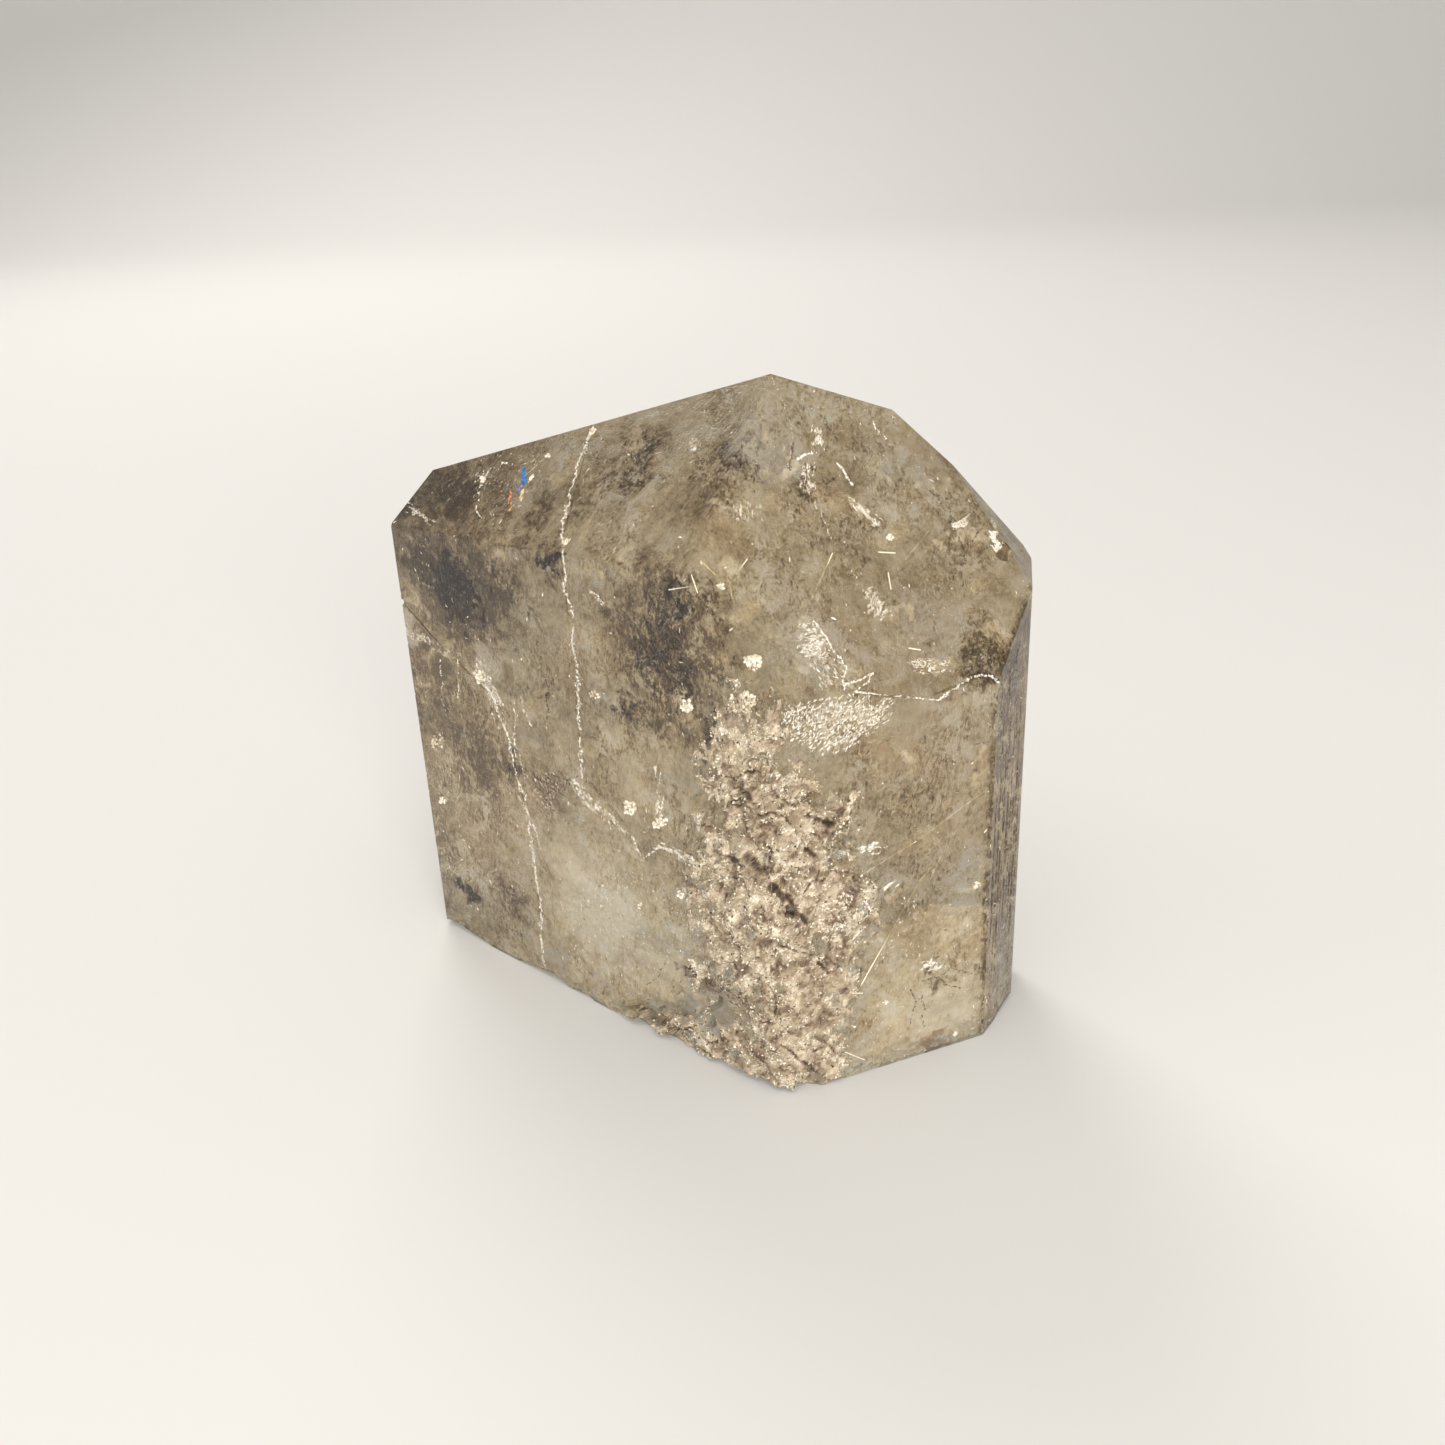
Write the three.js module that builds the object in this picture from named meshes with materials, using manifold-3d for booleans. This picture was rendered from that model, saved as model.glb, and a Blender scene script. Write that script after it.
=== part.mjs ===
// A rutilated quartz point: one broad, flattened crystal with six prism faces and an off-centre tip.
// It stands on its broken base. Its front right corner is etched into a crust of small crystallites.
// Millimetres, +Z up along the crystal, the broad front face looks along -Y, origin under the box's middle.

import * as THREE from 'three';
import Module from 'manifold-3d';
import { ConvexGeometry } from 'three/addons/geometries/ConvexGeometry.js';
import { mergeVertices } from 'three/addons/utils/BufferGeometryUtils.js';

const wasm = await Module();
wasm.setup();

// Driving dimensions of the flat faces: azimuth of the outward normal and its tilt from +Z in degrees,
// and the distance of the face from the origin in millimetres.
const FACES = {
  frontBroad: { azimuth: -90, tilt: 90, distance: 16.7 },
  frontRight: { azimuth: -25.7, tilt: 90, distance: 29.7 },
  rightBevel: { azimuth: 8.8, tilt: 90, distance: 35.35 },
  rightBack: { azimuth: 32, tilt: 90, distance: 35.0 },
  backBroad: { azimuth: 90, tilt: 90, distance: 16.7 },
  leftBack: { azimuth: 151, tilt: 90, distance: 29.25 },
  leftFront: { azimuth: 212, tilt: 90, distance: 31.3 },
  tipFront: { azimuth: -94.3, tilt: 44, distance: 48.55 },
  tipRight: { azimuth: -25.6, tilt: 58.3, distance: 46.25 },
  tipBack: { azimuth: 121.4, tilt: 46.8, distance: 39.7 },
  tipBackRight: { azimuth: 70, tilt: 49.6, distance: 51.4 },
  tipRightBack: { azimuth: 25.5, tilt: 53.4, distance: 56.55 },
  tipLeft: { azimuth: 209, tilt: 51.4, distance: 55.5 },
  brokenBase: { azimuth: 0, tilt: 180, distance: 0 },
};

// The etched corner: how far it reaches from the front edge onto the broad face (left) and the right face.
const ETCHED_REACH = [
  { height: 0, left: 22, right: 5 },
  { height: 4, left: 18, right: 6 },
  { height: 10, left: 12, right: 7 },
  { height: 15, left: 9.5, right: 7.5 },
  { height: 20, left: 9.3, right: 9.5 },
  { height: 26, left: 9.3, right: 8.1 },
  { height: 31, left: 9, right: 6 },
  { height: 36, left: 5, right: 2.5 },
  { height: 40, left: 4, right: 1 },
];
const ETCHED_GRID = 0.95;
const ETCHED_MARGIN = 2;
const ETCHED_DEPTH = 1.0;
const EDGE_ROUNDING = 3;
const CRYSTALLITES = 130;

// The deepest holes in the etched corner: across the edge, height, radius and depth.
const PITS = [
  { across: -2, height: 26.6, radius: 1.9, depth: 1.9 },
  { across: 1.3, height: 23.4, radius: 1.5, depth: 1.6 },
  { across: 3.5, height: 30.7, radius: 1.4, depth: 1.5 },
  { across: 6, height: 29.6, radius: 1.2, depth: 1.2 },
  { across: 4.4, height: 27.1, radius: 1.2, depth: 1.2 },
  { across: -7, height: 12, radius: 1.4, depth: 1.1 },
  { across: 6.2, height: 14.8, radius: 1.1, depth: 1.0 },
];

// The broken base: hollows around a flat land that the crystal rests on.
const BASE_GRID = 1.9;
const BASE_HOLLOW = 1.5;
const BASE_LAND = { x: 2, y: 0, radius: 7 };

const SEED = 11;
const UP = new THREE.Vector3(0, 0, 1);

// Small number helpers: a repeatable random value for a whole-number cell, and smooth and blocky noise.
function cellValue(column, row, seed) {
  let h = Math.imul(column, 374761393) ^ Math.imul(row, 668265263) ^ Math.imul(seed, 1442695041);
  h = Math.imul(h ^ (h >>> 13), 1274126177);
  return ((h ^ (h >>> 16)) >>> 0) / 4294967296;
}

function randomStream(seed) {
  let count = 0;
  return (low, high) => {
    count += 1;
    return low + (high - low) * cellValue(count, 7 * count + 3, seed);
  };
}

function smoothNoise(x, y, seed) {
  const column = Math.floor(x);
  const row = Math.floor(y);
  const fx = THREE.MathUtils.smoothstep(x - column, 0, 1);
  const fy = THREE.MathUtils.smoothstep(y - row, 0, 1);
  const near = THREE.MathUtils.lerp(cellValue(column, row, seed), cellValue(column + 1, row, seed), fx);
  const far = THREE.MathUtils.lerp(cellValue(column, row + 1, seed), cellValue(column + 1, row + 1, seed), fx);
  return THREE.MathUtils.lerp(near, far, fy);
}

// Each irregular cell of the plane has one level and one tilt, like the blocks of an etched surface.
function blockNoise(x, y, seed) {
  let nearest = Infinity;
  let level = 0;
  for (let column = Math.floor(x) - 1; column <= Math.floor(x) + 1; column += 1) {
    for (let row = Math.floor(y) - 1; row <= Math.floor(y) + 1; row += 1) {
      const dx = x - column - cellValue(column, row, seed + 1);
      const dy = y - row - cellValue(column, row, seed + 2);
      const distance = Math.hypot(dx, dy);
      if (distance < nearest) {
        nearest = distance;
        const tiltX = cellValue(column, row, seed + 3) - 0.5;
        const tiltY = cellValue(column, row, seed + 4) - 0.5;
        level = cellValue(column, row, seed) + 0.6 * (tiltX * dx + tiltY * dy);
      }
    }
  }
  return level;
}

// Flat faces: their normals, where three of them meet, and the convex solid that they bound.
function outward({ azimuth, tilt }) {
  const turn = THREE.MathUtils.degToRad(azimuth);
  const lean = THREE.MathUtils.degToRad(tilt);
  return new THREE.Vector3(Math.cos(turn) * Math.sin(lean), Math.sin(turn) * Math.sin(lean), Math.cos(lean));
}

function meetingPoint(a, b, c) {
  const normals = [a, b, c].map(outward);
  const matrix = new THREE.Matrix3();
  matrix.set(...normals.flatMap((normal) => normal.toArray()));
  if (Math.abs(matrix.determinant()) < 1e-5) return null;
  return new THREE.Vector3(a.distance, b.distance, c.distance).applyMatrix3(matrix.invert());
}

function cornersOf(faces) {
  const corners = [];
  for (let i = 0; i < faces.length; i += 1) {
    for (let j = i + 1; j < faces.length; j += 1) {
      for (let k = j + 1; k < faces.length; k += 1) {
        const point = meetingPoint(faces[i], faces[j], faces[k]);
        const inside = point && faces.every((face) => outward(face).dot(point) < face.distance + 1e-4);
        if (inside) corners.push(point);
      }
    }
  }
  return corners;
}

// Solids from meshes, and back again.
function toSolid(geometry) {
  const bare = geometry.clone();
  bare.deleteAttribute('normal');
  bare.deleteAttribute('uv');
  const welded = mergeVertices(bare, 1e-4);
  const vertProperties = new Float32Array(welded.attributes.position.array);
  const triVerts = new Uint32Array(welded.index.array);
  return new wasm.Manifold(new wasm.Mesh({ numProp: 3, vertProperties, triVerts }));
}

function toGeometry(solid) {
  const mesh = solid.getMesh();
  const geometry = new THREE.BufferGeometry();
  geometry.setAttribute('position', new THREE.BufferAttribute(new Float32Array(mesh.vertProperties), 3));
  geometry.setIndex(new THREE.BufferAttribute(new Uint32Array(mesh.triVerts), 1));
  return geometry;
}

function convexSolid(points) {
  return toSolid(new ConvexGeometry(points));
}

function removeAll(solid, cutters) {
  return cutters.reduce((rest, cutter) => rest.subtract(cutter), solid);
}

function addAll(solid, lumps) {
  return lumps.reduce((whole, lump) => whole.add(lump), solid);
}

// A closed slab between two grids: the inner grid shapes the stone, the outer one lies outside it.
function slabBetween(columns, rows, innerPoint, outerPoint) {
  const positions = [];
  for (const pointAt of [innerPoint, outerPoint]) {
    for (let row = 0; row <= rows; row += 1) {
      for (let column = 0; column <= columns; column += 1) {
        positions.push(...pointAt(column / columns, row / rows).toArray());
      }
    }
  }
  const layer = (columns + 1) * (rows + 1);
  const at = (column, row) => row * (columns + 1) + column;
  const indices = [];
  const quad = (a, b, c, d) => indices.push(a, b, c, a, c, d);
  for (let row = 0; row < rows; row += 1) {
    for (let column = 0; column < columns; column += 1) {
      const corners = [at(column, row), at(column + 1, row), at(column + 1, row + 1), at(column, row + 1)];
      quad(corners[0], corners[3], corners[2], corners[1]);
      quad(...corners.map((corner) => corner + layer));
    }
  }
  for (let column = 0; column < columns; column += 1) {
    quad(at(column, 0), at(column + 1, 0), at(column + 1, 0) + layer, at(column, 0) + layer);
    quad(at(column + 1, rows), at(column, rows), at(column, rows) + layer, at(column + 1, rows) + layer);
  }
  for (let row = 0; row < rows; row += 1) {
    quad(at(0, row + 1), at(0, row), at(0, row) + layer, at(0, row + 1) + layer);
    quad(at(columns, row), at(columns, row + 1), at(columns, row + 1) + layer, at(columns, row) + layer);
  }
  const geometry = new THREE.BufferGeometry();
  geometry.setAttribute('position', new THREE.Float32BufferAttribute(positions, 3));
  geometry.setIndex(indices);
  return toSolid(geometry);
}

// A point and normal on the rounded front edge: across is below 0 on the broad face, above 0 on the right one.
const frontCorner = meetingPoint(FACES.frontBroad, FACES.frontRight, FACES.brokenBase);
const alongBroad = new THREE.Vector3().crossVectors(outward(FACES.frontBroad), UP);
const alongRight = new THREE.Vector3().crossVectors(UP, outward(FACES.frontRight));

function onFrontEdge(across, height) {
  const share = THREE.MathUtils.clamp((across + EDGE_ROUNDING) / (2 * EDGE_ROUNDING), 0, 1);
  const left = across < -EDGE_ROUNDING ? -across : EDGE_ROUNDING * (1 - share) ** 2;
  const right = across > EDGE_ROUNDING ? across : EDGE_ROUNDING * share ** 2;
  const point = frontCorner.clone().setZ(height);
  point.addScaledVector(alongBroad, left).addScaledVector(alongRight, right);
  const normal = outward(FACES.frontBroad).lerp(outward(FACES.frontRight), share).normalize();
  return { point, normal };
}

function etchedReach(height) {
  const above = ETCHED_REACH.findIndex((row) => row.height >= height);
  if (above < 0) return { left: -2, right: -2 };
  const high = ETCHED_REACH[above];
  const low = ETCHED_REACH[Math.max(above - 1, 0)];
  const share = high === low ? 0 : (height - low.height) / (high.height - low.height);
  return {
    left: THREE.MathUtils.lerp(low.left, high.left, share),
    right: THREE.MathUtils.lerp(low.right, high.right, share),
  };
}

function pitDepth(across, height) {
  let depth = 0;
  for (const pit of PITS) {
    const distance = Math.hypot(across - pit.across, height - pit.height) / pit.radius;
    if (distance < 1) depth = Math.max(depth, pit.depth * (1 - distance ** 2));
  }
  return depth;
}

// How deep the etched corner lies under the plain faces: below 0 where the stone is left whole.
function etchedDepth(across, height) {
  const reach = etchedReach(Math.max(height, 0));
  const ragged = 2.2 * (smoothNoise(across / 1.6, height / 1.6, SEED) - 0.5);
  const inside = Math.min(across + reach.left, reach.right - across) + ragged;
  if (inside < 0) return Math.max(-1.2, inside);
  const blocks = blockNoise(across / 2.3, height / 2.3, SEED + 10);
  const fine = smoothNoise(across / 0.9, height / 0.9, SEED + 20) - 0.5;
  const relief = 0.15 + ETCHED_DEPTH * blocks + 0.35 * fine;
  const top = ETCHED_REACH[ETCHED_REACH.length - 1].height;
  const fade = Math.min(1, 0.3 + inside / 1.5) * THREE.MathUtils.smoothstep(top - height, 0, 6);
  return fade * relief + pitDepth(across, height);
}

function etchedCutter() {
  const left = -ETCHED_REACH[0].left - ETCHED_MARGIN;
  const right = 10 + ETCHED_MARGIN;
  const low = -1.5;
  const high = ETCHED_REACH[ETCHED_REACH.length - 1].height + ETCHED_MARGIN;
  const columns = Math.round((right - left) / ETCHED_GRID);
  const rows = Math.round((high - low) / ETCHED_GRID);
  const pointAt = (lift) => (u, v) => {
    const across = left + (right - left) * u;
    const height = low + (high - low) * v;
    const { point, normal } = onFrontEdge(across, height);
    return point.addScaledVector(normal, lift(across, height));
  };
  const floor = pointAt((across, height) => -etchedDepth(across, height));
  return slabBetween(columns, rows, floor, pointAt(() => 3));
}

// One small angular lump: a stubby double pyramid with its own turn and lean.
function crystallite(centre, size, random) {
  const lump = new THREE.Euler(random(0, 6), random(0, 6), random(0, 6));
  const points = [];
  for (let corner = 0; corner < 5; corner += 1) {
    const turn = (corner * 2 * Math.PI) / 5;
    points.push(new THREE.Vector3(Math.cos(turn), Math.sin(turn), random(-0.4, 0.4)).multiplyScalar(size));
  }
  points.push(new THREE.Vector3(0, 0, 0.9 * size), new THREE.Vector3(0, 0, -0.9 * size));
  return convexSolid(points.map((point) => point.applyEuler(lump).add(centre)));
}

function etchedCrystallites() {
  const random = randomStream(SEED + 30);
  const lumps = [];
  while (lumps.length < CRYSTALLITES) {
    const height = random(0.8, 39);
    const reach = etchedReach(height);
    const across = random(-reach.left + 0.5, reach.right - 0.3);
    const size = random(0.45, 1.15);
    const depth = etchedDepth(across, height);
    if (depth < 0.2 || pitDepth(across, height) > 0.3) continue;
    const { point, normal } = onFrontEdge(across, height);
    lumps.push(crystallite(point.addScaledVector(normal, -depth - 0.3 * size), size, random));
  }
  return lumps;
}

// The broken base: shallow shell-shaped hollows that leave flat lands to stand on.
function baseHeight(x, y) {
  const land = Math.hypot(x - BASE_LAND.x, y - BASE_LAND.y) < BASE_LAND.radius;
  const hollow = blockNoise(x / 9, y / 9, SEED + 40) * 0.6 + smoothNoise(x / 3.5, y / 3.5, SEED + 41) * 0.5;
  return land ? -0.4 : Math.max(-0.4, BASE_HOLLOW * (hollow - 0.55) * 2);
}

function baseCutter() {
  const reach = { x: 38, y: 20 };
  const columns = Math.round((2 * reach.x) / BASE_GRID);
  const rows = Math.round((2 * reach.y) / BASE_GRID);
  const pointAt = (heightAt) => (u, v) => {
    const x = reach.x * (2 * u - 1);
    const y = reach.y * (1 - 2 * v);
    return new THREE.Vector3(x, y, heightAt(x, y));
  };
  return slabBetween(columns, rows, pointAt(baseHeight), pointAt(() => -3));
}

// A chip knocked out of an edge, or a ledge grown onto one: a lumpy convex pebble stretched along x, y and z.
function pebble(centre, radii, seed) {
  const random = randomStream(seed);
  const points = [];
  for (let corner = 0; corner < 14; corner += 1) {
    const height = random(-1, 1);
    const turn = random(0, 2 * Math.PI);
    const ring = Math.sqrt(1 - height ** 2);
    points.push(new THREE.Vector3(ring * Math.cos(turn), ring * Math.sin(turn), height));
  }
  const place = new THREE.Vector3(...centre);
  return convexSolid(points.map((point) => point.multiply(new THREE.Vector3(...radii)).add(place)));
}

// A long shallow groove in a flat face, deepest in its middle and running out at both ends.
function groove(start, end, normal, width, depth) {
  const from = new THREE.Vector3(...start);
  const to = new THREE.Vector3(...end);
  const middle = from.clone().lerp(to, 0.45);
  const lift = 0.3;
  const raised = normal.clone().multiplyScalar(lift);
  const halfWidth = (width / 2) * (1 + lift / depth);
  const wide = new THREE.Vector3().crossVectors(to.clone().sub(from), normal).setLength(halfWidth);
  const shallow = normal.clone().multiplyScalar(-0.03);
  return convexSolid([
    from.clone().add(raised),
    from.clone().add(shallow),
    to.clone().add(raised),
    to.clone().add(shallow),
    middle.clone().add(wide).add(raised),
    middle.clone().sub(wide).add(raised),
    middle.clone().addScaledVector(normal, -depth),
  ]);
}

// A crack is a chain of grooves; each runs on a little past its bend, so that neighbours cross.
function crackAlong(route, normal, width, depth) {
  const overlap = 0.35;
  return route.slice(1).map((next, index) => {
    const start = new THREE.Vector3(...route[index]);
    const end = new THREE.Vector3(...next);
    const run = end.clone().sub(start).setLength(overlap);
    return groove(start.sub(run).toArray(), end.add(run).toArray(), normal, width, depth);
  });
}

// Growth lines across a prism face, level with the base, and upright furrows down the narrow right face.
function growthLines(face, count, low, high, halfWidth, seed) {
  const random = randomStream(seed);
  const normal = outward(face);
  const level = new THREE.Vector3().crossVectors(UP, normal);
  return Array.from({ length: count }, (_, line) => {
    const height = low + ((high - low) * (line + random(0.2, 0.8))) / count;
    const middle = random(-0.3, 0.3) * halfWidth;
    const reach = random(0.35, 0.7) * halfWidth;
    const centre = normal.clone().multiplyScalar(face.distance).setZ(height).addScaledVector(level, middle);
    const start = centre.clone().addScaledVector(level, -reach).toArray();
    const end = centre.clone().addScaledVector(level, reach).toArray();
    return groove(start, end, normal, random(0.3, 0.8), random(0.08, 0.18));
  });
}

function furrowsDown(face, count, middleAcross, width, seed) {
  const random = randomStream(seed);
  const normal = outward(face);
  const level = new THREE.Vector3().crossVectors(UP, normal);
  return Array.from({ length: count }, (_, line) => {
    const across = middleAcross + width * ((line + 0.5) / count - 0.5);
    const low = random(1, 14);
    const high = random(28, 41);
    const foot = normal.clone().multiplyScalar(face.distance).addScaledVector(level, across);
    const start = foot.clone().setZ(low).toArray();
    const end = foot.clone().addScaledVector(level, random(-0.3, 0.3)).setZ(high).toArray();
    return groove(start, end, normal, random(0.4, 0.8), random(0.15, 0.3));
  });
}

// Thin terraces that grew flat on the broad back face, each under a slanted top like the tip's own edge.
function backTerrace(left, right, low, topLeft, lift) {
  const face = FACES.backBroad.distance;
  const slope = 0.53;
  const bevel = 0.8 * lift;
  const points = [];
  for (const [level, inset] of [[-1, 0], [lift, bevel]]) {
    const [west, east, foot] = [left + inset, right - inset, low + inset];
    const top = (x) => topLeft + slope * (x - left) - inset;
    const outline = [[west, foot + 2], [west + 3, foot], [east, foot], [east, top(east)], [west, top(west)]];
    points.push(...outline.map(([x, z]) => new THREE.Vector3(x, face + level, z)));
  }
  return convexSolid(points);
}

// Chips: a nick in the left edge, notches along the foot of the broad face, two bites out of the right
// shoulder, and shell-shaped breaks at the foot and top of the back.
const chips = [
  pebble([-26.6, -16.2, 41], [0.8, 0.9, 0.5], 101),
  pebble([-9.2, -17, 0.2], [0.9, 1.2, 1.1], 102),
  pebble([-3, -17, 0], [3.2, 0.9, 0.7], 103),
  pebble([14, -17.1, 0], [3.6, 1, 0.9], 104),
  pebble([21.6, -16.9, 0.2], [1.9, 1.3, 2], 105),
  pebble([29.6, 12.4, 52.2], [1.6, 1.6, 1.4], 106),
  pebble([31, 11.2, 49.6], [1, 1.4, 1.2], 107),
  pebble([-27, 16.2, 1], [7, 5, 4], 108),
  pebble([26, 17.2, 0.5], [5, 1.6, 3], 109),
  pebble([2, 17.4, 45.5], [3, 1.5, 1.4], 110),
];

// Ledges that stand a little proud along the foot of the broad face.
const ledges = [
  pebble([4.4, -16.2, 1.1], [2.6, 1.1, 1], 201),
  pebble([8.6, -16, 1.3], [2.2, 1.2, 1.2], 202),
  pebble([12.4, -16.2, 3.2], [1.7, 0.9, 1], 203),
];

// Healed cracks that reach the surface: one down the broad face from the ridge, one from the nick in the left
// edge to the notch in the foot, and one along the edge under the right tip face.
const broad = outward(FACES.frontBroad);
const tipFront = outward(FACES.tipFront);
const tipRight = outward(FACES.tipRight);
const cracks = [
  ...crackAlong([[-5.2, -6.4, 60.9], [-2.9, -11.1, 56.5], [-0.6, -15.9, 52.1]], tipFront, 0.3, 0.3),
  ...crackAlong([[0.1, -16.7, 51.6], [0.4, -16.7, 40], [0.3, -16.7, 28.3]], broad, 0.3, 0.35),
  ...crackAlong([[0.3, -16.7, 28.3], [3.4, -16.7, 26.4], [7, -16.7, 23.6]], broad, 0.7, 0.4),
  ...crackAlong([[-26.2, -16.7, 40.9], [-20.6, -16.7, 37.4], [-11.5, -16.7, 32.8]], broad, 0.4, 0.3),
  ...crackAlong([[-11.5, -16.7, 32.8], [-10.2, -16.7, 26.2], [-8.7, -16.7, 16.4]], broad, 0.4, 0.35),
  ...crackAlong([[-8.7, -16.7, 16.4], [-8.8, -16.7, 10], [-9.2, -16.7, 1.3]], broad, 0.4, 0.35),
  ...crackAlong([[34.1, 3.6, 40.7], [31.8, -2.3, 40], [28.3, -7.8, 41.3]], tipRight, 0.4, 0.3),
];

const lines = [
  ...furrowsDown(FACES.rightBevel, 9, 2.7, 6.6, 301),
  ...growthLines(FACES.backBroad, 9, 3, 26, 15, 302),
  ...growthLines(FACES.leftBack, 7, 4, 36, 6, 303),
  ...growthLines(FACES.leftFront, 8, 4, 44, 5, 304),
  ...growthLines(FACES.frontRight, 6, 5, 38, 5, 305),
];

const terraces = [
  backTerrace(-16, 15, 7, 29, 0.22),
  backTerrace(-9, 17, 13, 27, 0.42),
  backTerrace(-2, 11, 16, 26, 0.6),
];

function quartzCrystal() {
  const crystal = removeAll(convexSolid(cornersOf(Object.values(FACES))), lines);
  const etched = addAll(crystal.subtract(etchedCutter()), etchedCrystallites());
  const grown = addAll(addAll(etched, ledges), terraces);
  return toGeometry(removeAll(grown, [baseCutter(), ...chips, ...cracks]));
}

function centredOnBase(geometry) {
  geometry.computeBoundingBox();
  const middle = geometry.boundingBox.getCenter(new THREE.Vector3());
  geometry.translate(-middle.x, -middle.y, -geometry.boundingBox.min.z);
  geometry.computeVertexNormals();
  return geometry;
}

const quartz = new THREE.MeshStandardMaterial({ color: 0xa3967c, roughness: 0.12, flatShading: true });
quartz.metalness = 0;
const crystalMesh = new THREE.Mesh(centredOnBase(quartzCrystal()), quartz);
crystalMesh.name = 'quartz_crystal';

const quartzPoint = new THREE.Group();
quartzPoint.add(crystalMesh);

export default quartzPoint;
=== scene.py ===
import math
import random
from collections import namedtuple

import bpy
from mathutils import Euler, Matrix, Vector, noise
from mathutils.bvhtree import BVHTree


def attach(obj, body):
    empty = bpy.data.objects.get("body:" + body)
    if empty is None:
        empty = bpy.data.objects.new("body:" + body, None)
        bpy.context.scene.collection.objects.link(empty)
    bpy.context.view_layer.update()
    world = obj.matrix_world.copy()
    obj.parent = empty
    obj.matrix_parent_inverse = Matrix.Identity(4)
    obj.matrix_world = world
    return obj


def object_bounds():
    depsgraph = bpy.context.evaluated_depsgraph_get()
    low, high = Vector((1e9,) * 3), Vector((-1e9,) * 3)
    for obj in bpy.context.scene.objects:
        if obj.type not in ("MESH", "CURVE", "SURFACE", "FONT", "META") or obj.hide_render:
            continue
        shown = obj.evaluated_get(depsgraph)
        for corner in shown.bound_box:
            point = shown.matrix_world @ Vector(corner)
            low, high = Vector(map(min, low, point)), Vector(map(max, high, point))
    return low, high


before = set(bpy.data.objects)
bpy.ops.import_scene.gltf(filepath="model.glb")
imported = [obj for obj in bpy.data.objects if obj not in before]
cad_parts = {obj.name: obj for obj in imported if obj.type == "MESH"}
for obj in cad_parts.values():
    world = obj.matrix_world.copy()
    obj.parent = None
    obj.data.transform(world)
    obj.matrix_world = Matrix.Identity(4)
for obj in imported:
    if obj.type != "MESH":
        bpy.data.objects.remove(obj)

CAD_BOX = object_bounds()

# Sizes are in millimetres here and turned into metres where a mesh is made.
MM = 0.001
SEED = 7
noise.seed_set(SEED)
BOX_LOW, BOX_HIGH = (Vector(corner) / MM for corner in CAD_BOX)
UPRIGHT = Vector((0, 0, 1))

# The photograph's camera in the part's own frame: its place, and its heading, pitch and roll in degrees.
CAMERA_PLACE = Vector((98.45, -102.66, 94.0))
CAMERA_HEADING = 132.5
CAMERA_PITCH = 25.059
CAMERA_ROLL = 2.531
PHOTO_SIDE = 1445
PHOTO_MIDDLE = PHOTO_SIDE / 2
SENSOR = 36.0
LENS = 36.0
FOCAL = PHOTO_SIDE * LENS / SENSOR
QUARTZ_IOR = 1.544


def facing(azimuth, elevation):
    """The direction at an azimuth and an elevation in degrees."""
    turn, lift = math.radians(azimuth), math.radians(elevation)
    return Vector((math.cos(turn) * math.cos(lift), math.sin(turn) * math.cos(lift), math.sin(lift)))


def camera_axes():
    """The camera's right, up and forward directions."""
    heading, roll = math.radians(CAMERA_HEADING), math.radians(CAMERA_ROLL)
    forward = facing(CAMERA_HEADING, -CAMERA_PITCH)
    level = Vector((math.sin(heading), -math.cos(heading), 0))
    upright = level.cross(forward)
    right = math.cos(roll) * level - math.sin(roll) * upright
    up = math.sin(roll) * level + math.cos(roll) * upright
    return right, up, forward


RIGHT, UP, FORWARD = camera_axes()

# Where a pixel of the photograph meets the crystal, and the point under it at a given depth in the stone.
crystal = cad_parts["quartz_crystal"]
surface = BVHTree.FromPolygons(
    [v.co / MM for v in crystal.data.vertices], [tuple(p.vertices) for p in crystal.data.polygons]
)


def pixel_ray(x, y):
    return (FORWARD * FOCAL + RIGHT * (x - PHOTO_MIDDLE) - UP * (y - PHOTO_MIDDLE)).normalized()


def pixel_of(point):
    """The pixel where the photograph's camera sees a point."""
    away = point - CAMERA_PLACE
    scale = FOCAL / away.dot(FORWARD)
    return PHOTO_MIDDLE + scale * away.dot(RIGHT), PHOTO_MIDDLE - scale * away.dot(UP)


def on_surface(x, y):
    """The point and outward normal where a pixel's ray meets the crystal, or None."""
    place, normal, _, _ = surface.ray_cast(CAMERA_PLACE, pixel_ray(x, y))
    return None if place is None else (place, normal)


def bent(direction, normal):
    """A ray's direction after it enters the quartz."""
    ratio = 1 / QUARTZ_IOR
    cos_in = -normal.dot(direction)
    return ratio * direction + (ratio * cos_in - math.sqrt(1 - ratio**2 * (1 - cos_in**2))) * normal


def in_stone(x, y, depth):
    """The point seen at a pixel that lies depth under the surface, with the normal there, or None."""
    hit = on_surface(x, y)
    if hit is None:
        return None
    place, normal = hit
    inward = bent(pixel_ray(x, y), normal)
    return place + inward * (depth / -inward.dot(normal)), normal


def inside_stone(point, clearance):
    """True if the point is in the crystal and at least clearance from its surface."""
    near, normal, _, distance = surface.find_nearest(point)
    return distance >= clearance and (point - near).dot(normal) < 0


def camera_lean(angle, normal):
    """The direction in a face that looks turned by angle from the picture's right, in degrees upward."""
    turn = math.radians(angle)
    seen = RIGHT * math.cos(turn) + UP * math.sin(turn)
    return in_face(seen, normal)


def in_face(direction, normal):
    """A direction laid flat in the face with this normal."""
    return (direction - normal * direction.dot(normal)).normalized()


def swell(point, size, shift=(0, 0, 0)):
    """A smooth noise from about -1 to 1 whose waves are size millimetres wide."""
    return noise.noise(point / size + Vector(shift))


def picture_swell(x, y, size, layer):
    """The same over the picture, with waves of size pixels."""
    return noise.noise(Vector((x / size, y / size, layer)))


def scattered(draw, spread):
    return Vector([draw.gauss(0, spread) for _ in range(3)])


def bounded(value):
    return min(1.0, max(0.0, value))


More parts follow.
